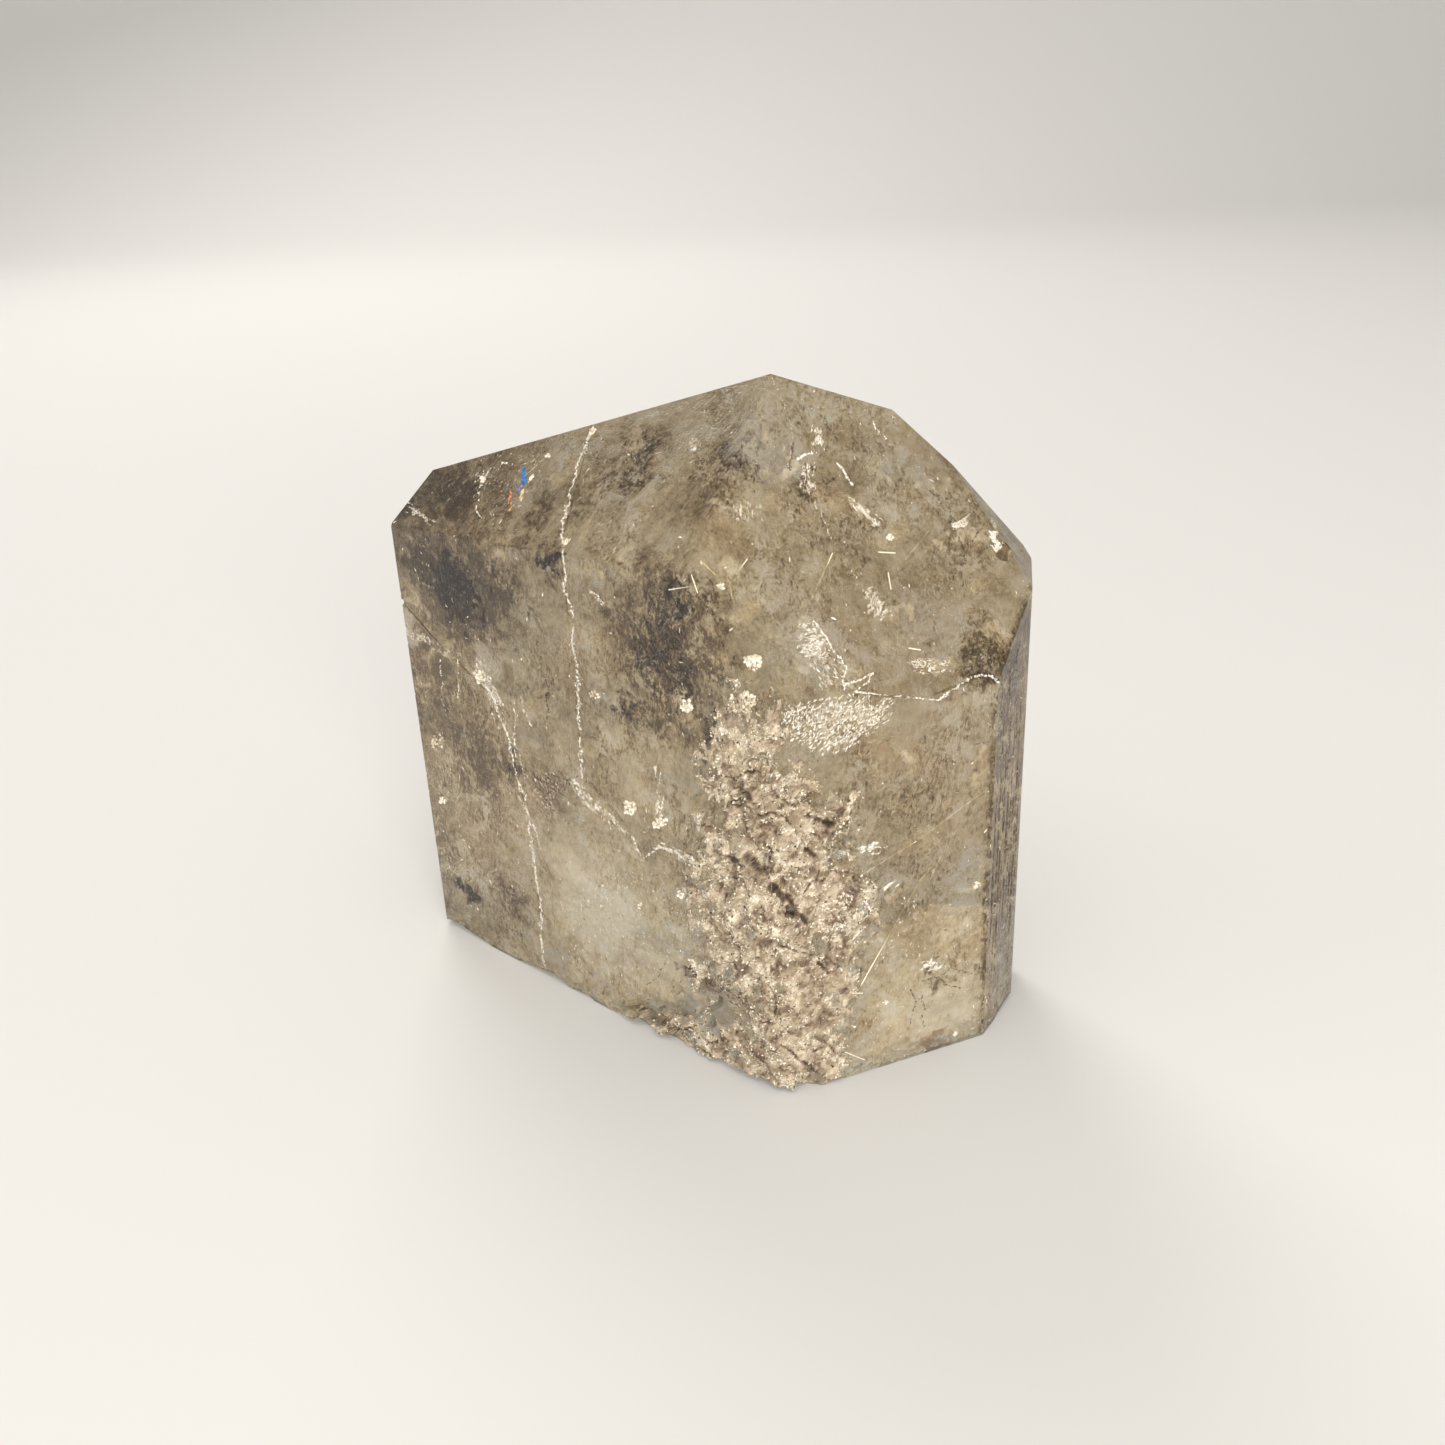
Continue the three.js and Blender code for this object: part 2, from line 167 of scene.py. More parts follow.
# A cluster gathers many small solids into one mesh, each with a shade from 0 to 1 for its material.
class Cluster:
    def __init__(self):
        self.points = []
        self.faces = []
        self.shades = []

    def add(self, points, faces, shades):
        """Takes in one closed solid, unless it would reach under the floor."""
        if min(point.z for point in points) < 0:
            return
        first = len(self.points)
        self.points += points
        self.faces += [tuple(first + i for i in face) for face in faces]
        self.shades += shades

    def build(self, name, material, slot):
        mesh = bpy.data.meshes.new(name)
        mesh.from_pydata([tuple(p * MM) for p in self.points], [], self.faces)
        mesh.update()
        layer = mesh.attributes.new("shade", "FLOAT", "POINT")
        layer.data.foreach_set("value", self.shades)
        mesh.materials.append(material)
        piece = bpy.data.objects.new(name, mesh)
        bpy.context.scene.collection.objects.link(piece)
        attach(piece, "root")


def ring_faces(sides, rings):
    """Faces of a closed spindle: a first tip, rings of points, and a last tip."""
    last = 1 + sides * rings
    faces = []
    for i in range(sides):
        j = (i + 1) % sides
        faces.append((0, 1 + j, 1 + i))
        for ring in range(rings - 1):
            low = 1 + ring * sides
            faces.append((low + i, low + j, low + sides + j, low + sides + i))
        faces.append((last - sides + i, last - sides + j, last))
    return faces


def add_spindle(cluster, centre, axes, sides, heights, draw, shade, jitter=0.0):
    """A closed spindle round centre: axes are its three half axes, the third one from tip to tip."""
    across, beside, along = axes
    points = [centre - along]
    for height in heights:
        for i in range(sides):
            turn = 2 * math.pi * i / sides
            spread = 1 + draw.uniform(-jitter, jitter)
            lift = height + draw.uniform(-jitter, jitter) * 0.5
            outward = across * math.cos(turn) + beside * math.sin(turn)
            points.append(centre + outward * spread + along * lift)
    points.append(centre + along)
    cluster.add(points, ring_faces(sides, len(heights)), [shade] * len(points))


def random_turn(draw):
    return Euler([draw.uniform(0, 2 * math.pi) for _ in range(3)]).to_matrix()


def add_grain(cluster, centre, size, draw, shade):
    """One angular grain: a lopsided five-sided double pyramid."""
    sizes = [size * draw.uniform(0.75, 1.2) for _ in range(3)]
    turn = random_turn(draw)
    axes = [turn.col[i] * sizes[i] for i in range(3)]
    add_spindle(cluster, centre, axes, 5, [0.0], draw, shade, 0.3)


def add_flake(cluster, centre, along, normal, size, draw, shade, thickness=0.15):
    """One thin plate that lies in the plane square to normal and points along."""
    length, width = size
    along = in_face(along, normal)
    tilt = Matrix.Rotation(draw.gauss(0, 0.35), 3, along)
    across = tilt @ normal.cross(along).normalized()
    thin = across.cross(along).normalized()
    axes = [across * width, thin * thickness * width, along * length]
    add_spindle(cluster, centre, axes, 4, [0.0], draw, shade, 0.25)


def add_rod(cluster, start, end, radius, draw, shade):
    """One needle: a thin five-sided rod with pointed ends."""
    along = (end - start) / 2
    across = along.orthogonal().normalized() * radius
    beside = along.cross(across).normalized() * radius
    add_spindle(cluster, start + along, [across, beside, along], 5, [-0.93, 0.93], draw, shade)


def add_shell(cluster, quads, top, under, shades):
    """A closed thin shell: quads of point numbers, and each point's place on its top and on its underside."""
    used = sorted({i for quad in quads for i in quad})
    number = {old: new for new, old in enumerate(used)}
    count = len(used)
    faces = []
    edges = {}
    for quad in quads:
        a = [number[i] for i in quad]
        faces += [tuple(a), tuple(i + count for i in reversed(a))]
        for i, j in zip(a, a[1:] + a[:1]):
            edges[i, j] = True
    faces += [(j, i, i + count, j + count) for i, j in edges if (j, i) not in edges]
    cluster.add([top[i] for i in used] + [under[i] for i in used], faces, [shades[i] for i in used] * 2)


def grid_quads(number):
    """The quads of a grid whose points are numbered by row and column; a quad needs all four."""
    for row, column in number:
        corners = [(row, column), (row, column + 1), (row + 1, column + 1), (row + 1, column)]
        if all(corner in number for corner in corners):
            yield [number[corner] for corner in corners]


# Materials. Each one mixes noises measured in millimetres of the stone itself.
def new_material(name):
    material = bpy.data.materials.new(name)
    material.use_nodes = True
    tree = material.node_tree
    return material, tree, tree.nodes["Principled BSDF"]


def make(tree, kind, inputs=None, **settings):
    """A node with its settings and inputs; an input given as a socket is linked."""
    node = tree.nodes.new(kind)
    for key, value in settings.items():
        setattr(node, key, value)
    for key, value in (inputs or {}).items():
        if isinstance(value, bpy.types.NodeSocket):
            tree.links.new(value, node.inputs[key])
        else:
            node.inputs[key].default_value = value
    return node


def vector_of(tree, operation, a, b=None, c=None, scale=None, output="Vector"):
    """What a vector operation makes of the inputs that it has."""
    inputs = {0: a, 1: b, 2: c, "Scale": scale}
    given = {key: value for key, value in inputs.items() if value is not None}
    return make(tree, "ShaderNodeVectorMath", given, operation=operation).outputs[output]


def stone_coordinates(tree):
    place = make(tree, "ShaderNodeTexCoord").outputs["Object"]
    return vector_of(tree, "SCALE", place, scale=1 / MM)


def noise_at(tree, coords, scale, detail=4.0, roughness=0.55, distortion=0.0, output="Fac"):
    values = {"Scale": scale, "Detail": detail, "Roughness": roughness, "Distortion": distortion}
    return make(tree, "ShaderNodeTexNoise", {"Vector": coords, **values}).outputs[output]


def math_of(tree, operation, a, b=0.0, c=0.0, clamp=False):
    return make(tree, "ShaderNodeMath", {0: a, 1: b, 2: c}, operation=operation, use_clamp=clamp).outputs[0]


def ramp_of(tree, value, stops):
    node = make(tree, "ShaderNodeValToRGB", {"Fac": value})
    while len(node.color_ramp.elements) < len(stops):
        node.color_ramp.elements.new(0.5)
    for element, (position, colour) in zip(node.color_ramp.elements, stops):
        element.position = position
        element.color = (*colour, 1)
    return node.outputs["Color"]


def step_of(tree, value, low, high):
    """A smooth step from 0 at low to 1 at high."""
    values = {"Value": value, "From Min": low, "From Max": high}
    return make(tree, "ShaderNodeMapRange", values, interpolation_type="SMOOTHSTEP").outputs[0]


def mixed(tree, share, a, b, blend="MIX"):
    """Colour a with its share of colour b on it; each colour is a socket or three numbers."""
    a, b = (colour if isinstance(colour, bpy.types.NodeSocket) else (*colour, 1) for colour in (a, b))
    return make(tree, "ShaderNodeMix", {6: a, 7: b, 0: share}, data_type="RGBA", blend_type=blend).outputs[2]


def weighted(tree, parts, start, weights):
    """Start, a number or a part's name, plus each part times its weight, a number or again a part's name."""
    total = parts.get(start, start)
    for name, weight in weights.items():
        total = math_of(tree, "MULTIPLY_ADD", parts[name], parts.get(weight, weight), total)
    return total


# A patch is a soft ellipse on the stone, in pixels of the photograph: the x and y of its middle, its half
# width and half height, its lean in degrees, and its strength.
PATCH_DEPTH = 4.0
PATCH_BORDER = 0.7
LEAST_VIEW = 0.3
# Dark patches: dark brown spots of the stone itself, and clearer stone whose dark brown is painted shade, the
# dark surroundings seen through it. The last one is painted shade on the top of the narrow bevel face.
DARK_SPOT_AND_SHADE_PATCHES = [
    (484, 592, 92, 50, -6, 0.56), (455, 592, 37, 46, -20, 1.1), (522, 556, 56, 34, 0, 0.36),
    (418, 562, 22, 12, -20, 0.72), (495, 560, 18, 16, 0, 0.74), (490, 592, 26, 26, 0, 0.66),
    (548, 562, 24, 16, -20, 0.8), (497, 517, 12, 11, 0, 0.6), (462, 498, 16, 16, 20, 0.5),
    (540, 511, 11, 11, 0, 0.45), (640, 463, 22, 30, 0, 0.62), (600, 485, 40, 60, 0, 0.3),
    (738, 455, 26, 42, 0, 0.66), (710, 480, 40, 50, 0, 0.4), (665, 650, 80, 120, -6, 0.74),
    (676, 598, 36, 32, 0, 0.84), (630, 712, 16, 28, 0, 0.74), (708, 720, 14, 26, 0, 0.76),
    (482, 755, 52, 60, 0, 0.5), (508, 770, 20, 34, 10, 0.66), (440, 690, 16, 56, 0, 0.5),
    (472, 894, 20, 15, 0, 1.0), (520, 900, 52, 34, 0, 0.55), (600, 745, 36, 60, 0, 0.36),
    (804, 487, 12, 12, 0, 0.62), (966, 545, 14, 34, 20, 0.3), (980, 662, 28, 18, 0, 0.58),
    (950, 974, 46, 14, 8, 0.55), (900, 490, 60, 60, 0, 0.16), (1014, 670, 14, 60, 0, 0.72),
]
# Pale patches: milky parts of the stone, and on the tip's kite-shaped face a painted reflection (the last
# one).
PALE_AND_REFLECTION_PATCHES = [
    (600, 915, 95, 80, 0, 0.62), (690, 970, 70, 70, 0, 0.56), (940, 1010, 70, 50, 0, 0.54),
    (820, 650, 30, 34, 60, 0.7), (597, 893, 26, 14, 0, 1.0), (408, 630, 24, 12, 30, 0.9),
    (485, 668, 30, 24, 45, 0.7), (930, 620, 80, 40, 0, 0.5), (768, 450, 20, 72, 0, 0.6),
]
RUST_PATCHES = [
    (550, 790, 36, 32, 0, 0.9), (553, 885, 15, 80, 0, 0.36), (702, 977, 26, 9, 0, 1.0),
    (930, 1043, 26, 8, 10, 0.8),
]


def pixel_across(direction):
    """How long a direction in a face looks to the camera, as a share of its length."""
    return math.sqrt(max(0.0, 1 - direction.dot(FORWARD) ** 2))


def patch_mask(tree, coords, patches):
    """A mask that is highest in the middle of each patch and falls to 0 past its border."""
    total = 0.0
    for x, y, half_width, half_height, lean, strength in patches:
        place, normal = on_surface(x, y)
        scale = (place - CAMERA_PLACE).length / PHOTO_SIDE
        along = camera_lean(lean, normal)
        beside = normal.cross(along)
        wide = half_width * scale / max(LEAST_VIEW, pixel_across(along))
        tall = half_height * scale / max(LEAST_VIEW, pixel_across(beside))
        ways = zip(along, beside, normal)
        sizes = [abs(a) * wide + abs(b) * tall + abs(n) * PATCH_DEPTH for a, b, n in ways]
        shrink = [1 / size for size in sizes]
        middle = [-at / size for at, size in zip(place, sizes)]
        local = vector_of(tree, "MULTIPLY_ADD", coords, shrink, middle)
        distance = vector_of(tree, "LENGTH", local, output="Value")
        slope = strength / PATCH_BORDER
        height = math_of(tree, "MINIMUM", math_of(tree, "MULTIPLY_ADD", distance, -slope, slope), strength)
        total = math_of(tree, "MAXIMUM", total, height)
    return total


# The coordinates that the skin's noises are read at: how far the ragged ones wander and by which noise, and
# how the others lean and stretch.
RAGGED_REACH = 9.0
RAGGED_NOISE = (0.5, 3.0, 0.6)
STREAK_LEAN = (math.radians(5), math.radians(-14), 0)
STREAK_STRETCH = (3.0, 3.0, 0.55)
GRAIN_STRETCH = (1.0, 1.0, 0.6)
BEVEL_NORMAL = facing(8.8, 0)

# The parts of the skin's pattern, each made from those above it. A noise has its coordinates, scale, detail,
# roughness and distortion, a step has the part that it reads and where it starts and ends, and a sum has its
# start and its weights. Four parts are given: the height and the x of a point, how far it reaches towards the
# furrowed bevel, and the mask of the dark patches.
SKIN_PARTS = {
    "clouds": ("noise", "plain", 0.085, 4.0, 0.6, 0.8),
    "blotches": ("noise", "plain", 0.4, 5.0, 0.7, 0.6),
    "streaks": ("noise", "leaning", 1.0, 4.0, 0.7, 0.4),
    "torn": ("noise", "ragged", 0.9, 4.0, 0.7),
    "grain": ("noise", "squat", 3.2, 3.0, 0.7),
    "unrest": ("noise", "ragged", 0.17, 2.0, 0.5),
    "warmth": ("noise", "ragged", 0.11, 3.0, 0.5),
    "ridges": ("noise", "ragged", 0.32, 3.0, 0.5, 0.5),
    "foot": ("step", "height", 40.0, 0.0),
    "west": ("step", "x", -8.0, -20.0),
    # The narrow bevel face: the lift darkens it with painted shade, and its fine streaks show more strongly.
    "bevel": ("step", "reach", 34.75, 35.2),
    "busy": ("step", "unrest", 0.40, 0.62),
    "ruddy": ("step", "warmth", 0.45, 0.6),
    "film": ("step", "torn", 0.52, 0.56),
    "wisps": ("step", "streaks", 0.56, 0.62),
    "flecks": ("step", "blotches", 0.54, 0.58),
    # The dark patches' parts: how far they darken and dim, their lace and cover, streaks and near-black core.
    # Over clearer stone this darkening is painted shade, the dark surroundings seen through it.
    "darkening": ("sum", "dark", {"streaks": 0.5, "torn": 0.8}),
    "dim": ("step", "darkening", 0.78, 1.10),
    "gain": ("sum", 0.5, {"dim": 0.4, "busy": 0.9, "bevel": 0.5, "foot": 0.4}),
    "fine": ("sum", -1.062, {"streaks": 0.9, "grain": 1.14, "film": 0.2, "wisps": -0.24, "flecks": 0.18}),
    # The lift: brighter towards the foot, darker to the west and in the dim patches, and darker on the narrow
    # bevel face, where it is painted shade.
    "lift": ("sum", -0.35, {"foot": 0.18, "west": -0.32, "dim": -0.30, "bevel": -0.36}),
    "tone": ("sum", "lift", {"clouds": 0.8, "blotches": 0.9, "fine": "gain"}),
    "lace": ("sum", -0.05, {"dark": -1.0, "torn": 0.9, "blotches": 0.7, "streaks": 0.5}),
    "cover": ("step", "lace", 0.34, 0.44),
    "dark_streaks": ("step", "streaks", 0.44, 0.60),
    "gloom": ("sum", 0.45, {"dark": 1.0, "torn": -0.9}),
    "core": ("step", "gloom", 0.70, 0.78),
    "breakup": ("sum", -0.8, {"streaks": 0.6, "torn": 1.0}),
    "veined": ("step", "grain", 0.45, 0.6),
    "feathered": ("step", "blotches", 0.46, 0.58),
    "sparks": ("step", "grain", 0.70, 0.76),
    "roughness": ("sum", 0.01, {"blotches": 0.10, "cover": 0.03}),
    "relief": ("sum", 0.0, {"blotches": 1.4, "streaks": 0.6}),
}

# How the cloudy stone's colour runs from its dimmest to its brightest parts, and its other colours. The
# three browns fill the dark patches: painted shade where these show the dark surroundings through clearer
# stone, and the stone's own colour in its dark brown spots.
VEIL_STOPS = [
    (0.02, (0.12, 0.086, 0.048)),
    (0.28, (0.44, 0.345, 0.210)),
    (0.50, (0.75, 0.640, 0.430)),
    (0.76, (0.95, 0.860, 0.650)),
    (1.00, (1.00, 0.970, 0.860)),
]
RUDDY_TINT = (1.0, 0.93, 0.85)
DEEP_BROWN = (0.085, 0.060, 0.036)
DARK_STREAK_BROWN = (0.22, 0.165, 0.105)
CORE_BROWN = (0.0110, 0.0045, 0.0010)
SPARK_CREAM = (0.95, 0.89, 0.76)

# The tinted patches: where their step starts and ends, their colour, and how much of it covers.
TINTED = [
    (PALE_AND_REFLECTION_PATCHES, 0.25, 0.78, (1.0, 0.94, 0.80), 0.85),
    (RUST_PATCHES, 0.2, 0.7, (0.26, 0.135, 0.065), 0.65),
]


def skin_coordinates(tree):
    """The coordinates of the skin's noises, in millimetres of the stone."""
    plain = stone_coordinates(tree)
    wander = noise_at(tree, plain, *RAGGED_NOISE, output="Color")
    centred = vector_of(tree, "SUBTRACT", wander, (0.5, 0.5, 0.5))
    ragged = vector_of(tree, "ADD", plain, vector_of(tree, "SCALE", centred, scale=RAGGED_REACH))
    leaning = make(tree, "ShaderNodeMapping", {"Vector": plain, "Rotation": STREAK_LEAN}).outputs[0]
    streaked = vector_of(tree, "MULTIPLY", leaning, STREAK_STRETCH)
    squat = vector_of(tree, "MULTIPLY", plain, GRAIN_STRETCH)
    return {"plain": plain, "ragged": ragged, "leaning": streaked, "squat": squat}


def skin_parts(tree, coords):
    """All the parts of the skin's pattern, by name."""
    place = make(tree, "ShaderNodeSeparateXYZ", {0: coords["plain"]})
    parts = {"height": place.outputs["Z"], "x": place.outputs["X"]}
    parts["reach"] = vector_of(tree, "DOT_PRODUCT", coords["plain"], BEVEL_NORMAL, output="Value")
    parts["dark"] = patch_mask(tree, coords["ragged"], DARK_SPOT_AND_SHADE_PATCHES)
    for name, (kind, first, *rest) in SKIN_PARTS.items():
        if kind == "noise":
            parts[name] = noise_at(tree, coords[first], *rest)
        elif kind == "step":
            parts[name] = step_of(tree, parts[first], *rest)
        else:
            parts[name] = weighted(tree, parts, first, *rest)
    return parts


def thin_line(tree, value, middle, half, edge, where):
    """A thin line where a noise passes its middle value, kept where another part is high."""
    away = math_of(tree, "ABSOLUTE", math_of(tree, "SUBTRACT", value, middle))
    return math_of(tree, "MULTIPLY", step_of(tree, away, half, edge), where)


def quartz_material():
    material, tree, shader = new_material("cloudy_quartz")
    coords = skin_coordinates(tree)
    skin = skin_parts(tree, coords)

    veil = ramp_of(tree, skin["tone"], VEIL_STOPS)
    veil = mixed(tree, math_of(tree, "MULTIPLY", skin["ruddy"], 0.6), veil, RUDDY_TINT, "MULTIPLY")
    # In the dark patches the colour turns to the browns: painted shade over clearer stone, and the stone's
    # own colour in its dark brown spots.
    deep = mixed(tree, skin["dark_streaks"], DEEP_BROWN, DARK_STREAK_BROWN)
    deep = mixed(tree, skin["core"], deep, CORE_BROWN)
    colour = mixed(tree, skin["cover"], deep, veil)
    for patches, low, high, tint, share in TINTED:
        mask = math_of(tree, "ADD", patch_mask(tree, coords["ragged"], patches), skin["breakup"])
        colour = mixed(tree, math_of(tree, "MULTIPLY", step_of(tree, mask, low, high), share), colour, tint)
    vein = thin_line(tree, skin["ridges"], 0.5, 0.012, 0.0, skin["veined"])
    feather = thin_line(tree, skin["streaks"], 0.47, 0.010, 0.002, skin["feathered"])
    sparks = math_of(tree, "MAXIMUM", math_of(tree, "MAXIMUM", vein, feather), skin["sparks"])
    colour = mixed(tree, math_of(tree, "MULTIPLY", sparks, 0.6), colour, SPARK_CREAM)
    tree.links.new(colour, shader.inputs["Base Color"])
    tree.links.new(skin["roughness"], shader.inputs["Roughness"])
    bump = make(tree, "ShaderNodeBump", {"Height": skin["relief"], "Strength": 0.4, "Distance": 0.25 * MM})
    tree.links.new(bump.outputs["Normal"], shader.inputs["Normal"])

    shader.inputs["Transmission Weight"].default_value = 0.78
    shader.inputs["IOR"].default_value = QUARTZ_IOR
    absorb = make(tree, "ShaderNodeVolumeAbsorption", {"Color": (0.82, 0.68, 0.44, 1), "Density": 26.0})
    tree.links.new(absorb.outputs["Volume"], tree.nodes["Material Output"].inputs["Volume"])
    return material


def shaded_material(name, stops, roughness, speckle, metallic=0.0):
    """A material whose colour runs through stops by each grain's own shade, with a fine mottle on it."""
    material, tree, shader = new_material(name)
    coords = stone_coordinates(tree)
    shade = make(tree, "ShaderNodeAttribute", attribute_name="shade").outputs["Fac"]
    mottle = math_of(tree, "SUBTRACT", noise_at(tree, coords, speckle, 4.0, 0.7), 0.5)
    tone = math_of(tree, "ADD", shade, math_of(tree, "MULTIPLY", mottle, 0.5), clamp=True)
    tree.links.new(ramp_of(tree, tone, stops), shader.inputs["Base Color"])
    smoothest, roughest = roughness
    spread = math_of(tree, "MULTIPLY", noise_at(tree, coords, speckle * 0.7, 3.0), roughest - smoothest)
    tree.links.new(math_of(tree, "ADD", spread, smoothest), shader.inputs["Roughness"])
    shader.inputs["Metallic"].default_value = metallic
    return material


crystal.data.materials.clear()
crystal.data.materials.append(quartz_material())

CRUST_STOPS = [
    (0.0, (0.030, 0.021, 0.014)),
    (0.22, (0.15, 0.10, 0.062)),
    (0.45, (0.33, 0.255, 0.172)),
    (0.7, (0.54, 0.45, 0.325)),
    (1.0, (0.94, 0.88, 0.74)),
]
FROST_STOPS = [(0.0, (0.55, 0.45, 0.33)), (0.5, (0.80, 0.72, 0.58)), (1.0, (0.98, 0.95, 0.88))]
MOTE_STOPS = [
    (0.0, (0.10, 0.07, 0.045)),
    (0.4, (0.45, 0.36, 0.25)),
    (0.7, (0.85, 0.77, 0.62)),
    (1.0, (0.98, 0.95, 0.88)),
]
INNER_VEIL_STOPS = [(0.0, (0.55, 0.44, 0.30)), (0.5, (0.90, 0.80, 0.61)), (1.0, (1.0, 0.96, 0.86))]
RAINBOW_STOPS = [
    (0.0, (0.05, 0.36, 0.95)),
    (0.2, (0.16, 0.30, 0.75)),
    (0.4, (0.42, 0.22, 0.42)),
    (0.65, (0.90, 0.38, 0.16)),
    (1.0, (1.0, 0.90, 0.62)),
]
NEEDLE_STOPS = [(0.0, (0.62, 0.42, 0.17)), (0.5, (0.86, 0.70, 0.42)), (1.0, (1.0, 0.94, 0.76))]
crust_material = shaded_material("etched_grains", CRUST_STOPS, (0.25, 0.75), 5.0)
frost_material = shaded_material("frosted_flakes", FROST_STOPS, (0.1, 0.5), 8.0)
mote_material = shaded_material("small_flecks", MOTE_STOPS, (0.1, 0.5), 2.0)
veil_material = shaded_material("milky_veils", INNER_VEIL_STOPS, (0.3, 0.6), 1.5)
rainbow_material = shaded_material("interference_colours", RAINBOW_STOPS, (0.05, 0.2), 1.0, 0.5)
needle_material = shaded_material("golden_rutile", NEEDLE_STOPS, (0.15, 0.45), 3.0, 0.2)

# The etched corner: outlines in pixels, each with how rough the stone is there and how bright.
CRUST_ZONES = [
    ([(728, 700), (752, 692), (766, 708), (772, 745), (778, 768), (800, 782), (818, 800), (842, 806),
        (836, 820), (842, 850), (850, 874), (868, 890), (864, 925), (845, 950), (812, 948), (780, 950),
        (745, 938), (712, 945), (701, 925), (703, 860), (718, 830), (722, 790), (702, 752), (714, 735)], 1.0,
        0.54),
    ([(703, 925), (845, 945), (852, 985), (846, 1030), (830, 1096), (790, 1104), (752, 1086), (745, 1040),
        (760, 1000), (735, 985), (706, 975)], 0.6, 0.54),
    ([(642, 1026), (690, 1022), (735, 1052), (770, 1064), (800, 1100), (756, 1086), (735, 1086), (700, 1068),
        (650, 1046)], 0.4, 0.56),
]

# Crevices of the etched corner, darkened with painted shade: the way each runs in pixels, and its half width.
CREVICES = [
    ([(802, 892), (812, 882), (824, 879)], 0.7), ([(738, 776), (748, 770), (760, 772)], 1.2),
    ([(728, 806), (738, 798), (746, 800)], 1.2), ([(790, 900), (797, 912), (804, 920)], 2.2),
    ([(770, 790), (784, 800), (796, 806)], 1.0), ([(748, 856), (760, 866), (770, 872)], 4.5),
    ([(773, 887), (780, 893), (787, 897)], 4.0), ([(786, 908), (796, 916)], 3.5),
    ([(806, 814), (818, 820), (834, 824)], 2.2), ([(806, 848), (815, 856)], 2.5),
    ([(716, 851), (736, 860), (744, 866)], 1.6), ([(740, 806), (730, 804)], 1.5),
    ([(744, 788), (750, 798)], 2.0), ([(764, 842), (772, 850), (770, 860)], 1.5),
    ([(760, 815), (775, 812), (790, 822)], 1.3),
    ([(781, 1045), (795, 1055), (810, 1066), (822, 1080)], 1.2),
    ([(829, 1046), (838, 1054), (848, 1060)], 0.9), ([(752, 1050), (758, 1058), (768, 1066)], 0.9),
    ([(760, 1020), (772, 1024), (784, 1020)], 0.9),
    ([(688, 1040), (702, 1048), (712, 1056), (728, 1068)], 1.0),
    ([(700, 1036), (712, 1044), (718, 1040)], 0.9),
    ([(655, 1020), (668, 1026), (684, 1030), (702, 1024)], 0.9),
    ([(780, 945), (800, 952), (822, 955)], 1.0), ([(818, 962), (828, 972)], 1.8),
    ([(770, 985), (778, 1000), (774, 1014)], 0.9),
]

# The crust lies on a grid that wraps the rounded front edge: its step, how far it reaches to each side of the
# edge and up, where it starts over the floor, and how deep its root is.
CRUST_STEP = 0.16
CRUST_LEFT = 24.0
CRUST_RIGHT = 12.0
CRUST_TOP = 44.0
CRUST_FOOT = 0.15
CRUST_ROOT = 0.45
CRUST_BORDER = 1.6
CRUST_LOWEST = -0.06
CRUST_GRAINS = 11000
FRONT_CORNER = Vector((24.95, -16.75, 0))
EDGE_ROUNDING = 3.0
BROAD_NORMAL = Vector((0, -1, 0))
RIGHT_NORMAL = facing(-25.7, 0)
ALONG_BROAD = Vector((-1, 0, 0))
ALONG_RIGHT = Vector((-RIGHT_NORMAL.y, RIGHT_NORMAL.x, 0))

# The chips of the crust: the sizes of big and small ones, how high their leaning faces and their tops stand,
# and how much they change the shade.
BIG_CHIP = 1.3
SMALL_CHIP = 0.5
BIG_LEAN, SMALL_LEAN = 0.15, 0.06
BIG_TOP, SMALL_TOP = 0.10, 0.05
BIG_SHADE, SMALL_SHADE = 0.25, 0.44

# The dark lines between chips, the dark folds and the pale clumps: their sizes and what they do to the shade.
# The darkening of the lines and folds is painted shade.
CREASE_HALF = 0.13
FOLD_HALF = 0.04
CREASE_PAINTED_SHADE = 0.22
CREVICE_PAINTED_SHADE = 0.5
CLUMP_SHADE = 0.34


def leg_distance(x, y, start, end):
    """Pixels from a point to the straight line between two others."""
    run_x, run_y = end[0] - start[0], end[1] - start[1]
    share = bounded(((x - start[0]) * run_x + (y - start[1]) * run_y) / (run_x**2 + run_y**2))
    return math.hypot(x - start[0] - share * run_x, y - start[1] - share * run_y)


def edge_distance(x, y, outline):
    """Pixels from a point to the outline: above 0 inside it, below 0 outside."""
    inside = False
    nearest = float("inf")
    for start, end in zip(outline, outline[1:] + outline[:1]):
        (ax, ay), (bx, by) = start, end
        if (ay > y) != (by > y) and x < ax + (bx - ax) * (y - ay) / (by - ay):
            inside = not inside
        nearest = min(nearest, leg_distance(x, y, start, end))
    return nearest if inside else -nearest


def on_front_edge(across, height):
    """A point and normal of the rounded edge: across is below 0 on the broad face, above 0 on the other."""
    share = bounded((across + EDGE_ROUNDING) / (2 * EDGE_ROUNDING))
    left = -across if across < -EDGE_ROUNDING else EDGE_ROUNDING * (1 - share) ** 2
    right = across if across > EDGE_ROUNDING else EDGE_ROUNDING * share**2
    place = FRONT_CORNER + ALONG_BROAD * left + ALONG_RIGHT * right + Vector((0, 0, height))
    return place, BROAD_NORMAL.lerp(RIGHT_NORMAL, share).normalized()


def wobbled_pixel(point, reach, size):
    """The pixel of a point, moved by up to about reach pixels."""
    x, y = pixel_of(point)
    return x + reach * swell(point, size), y + reach * swell(point, size, (5, 5, 5))


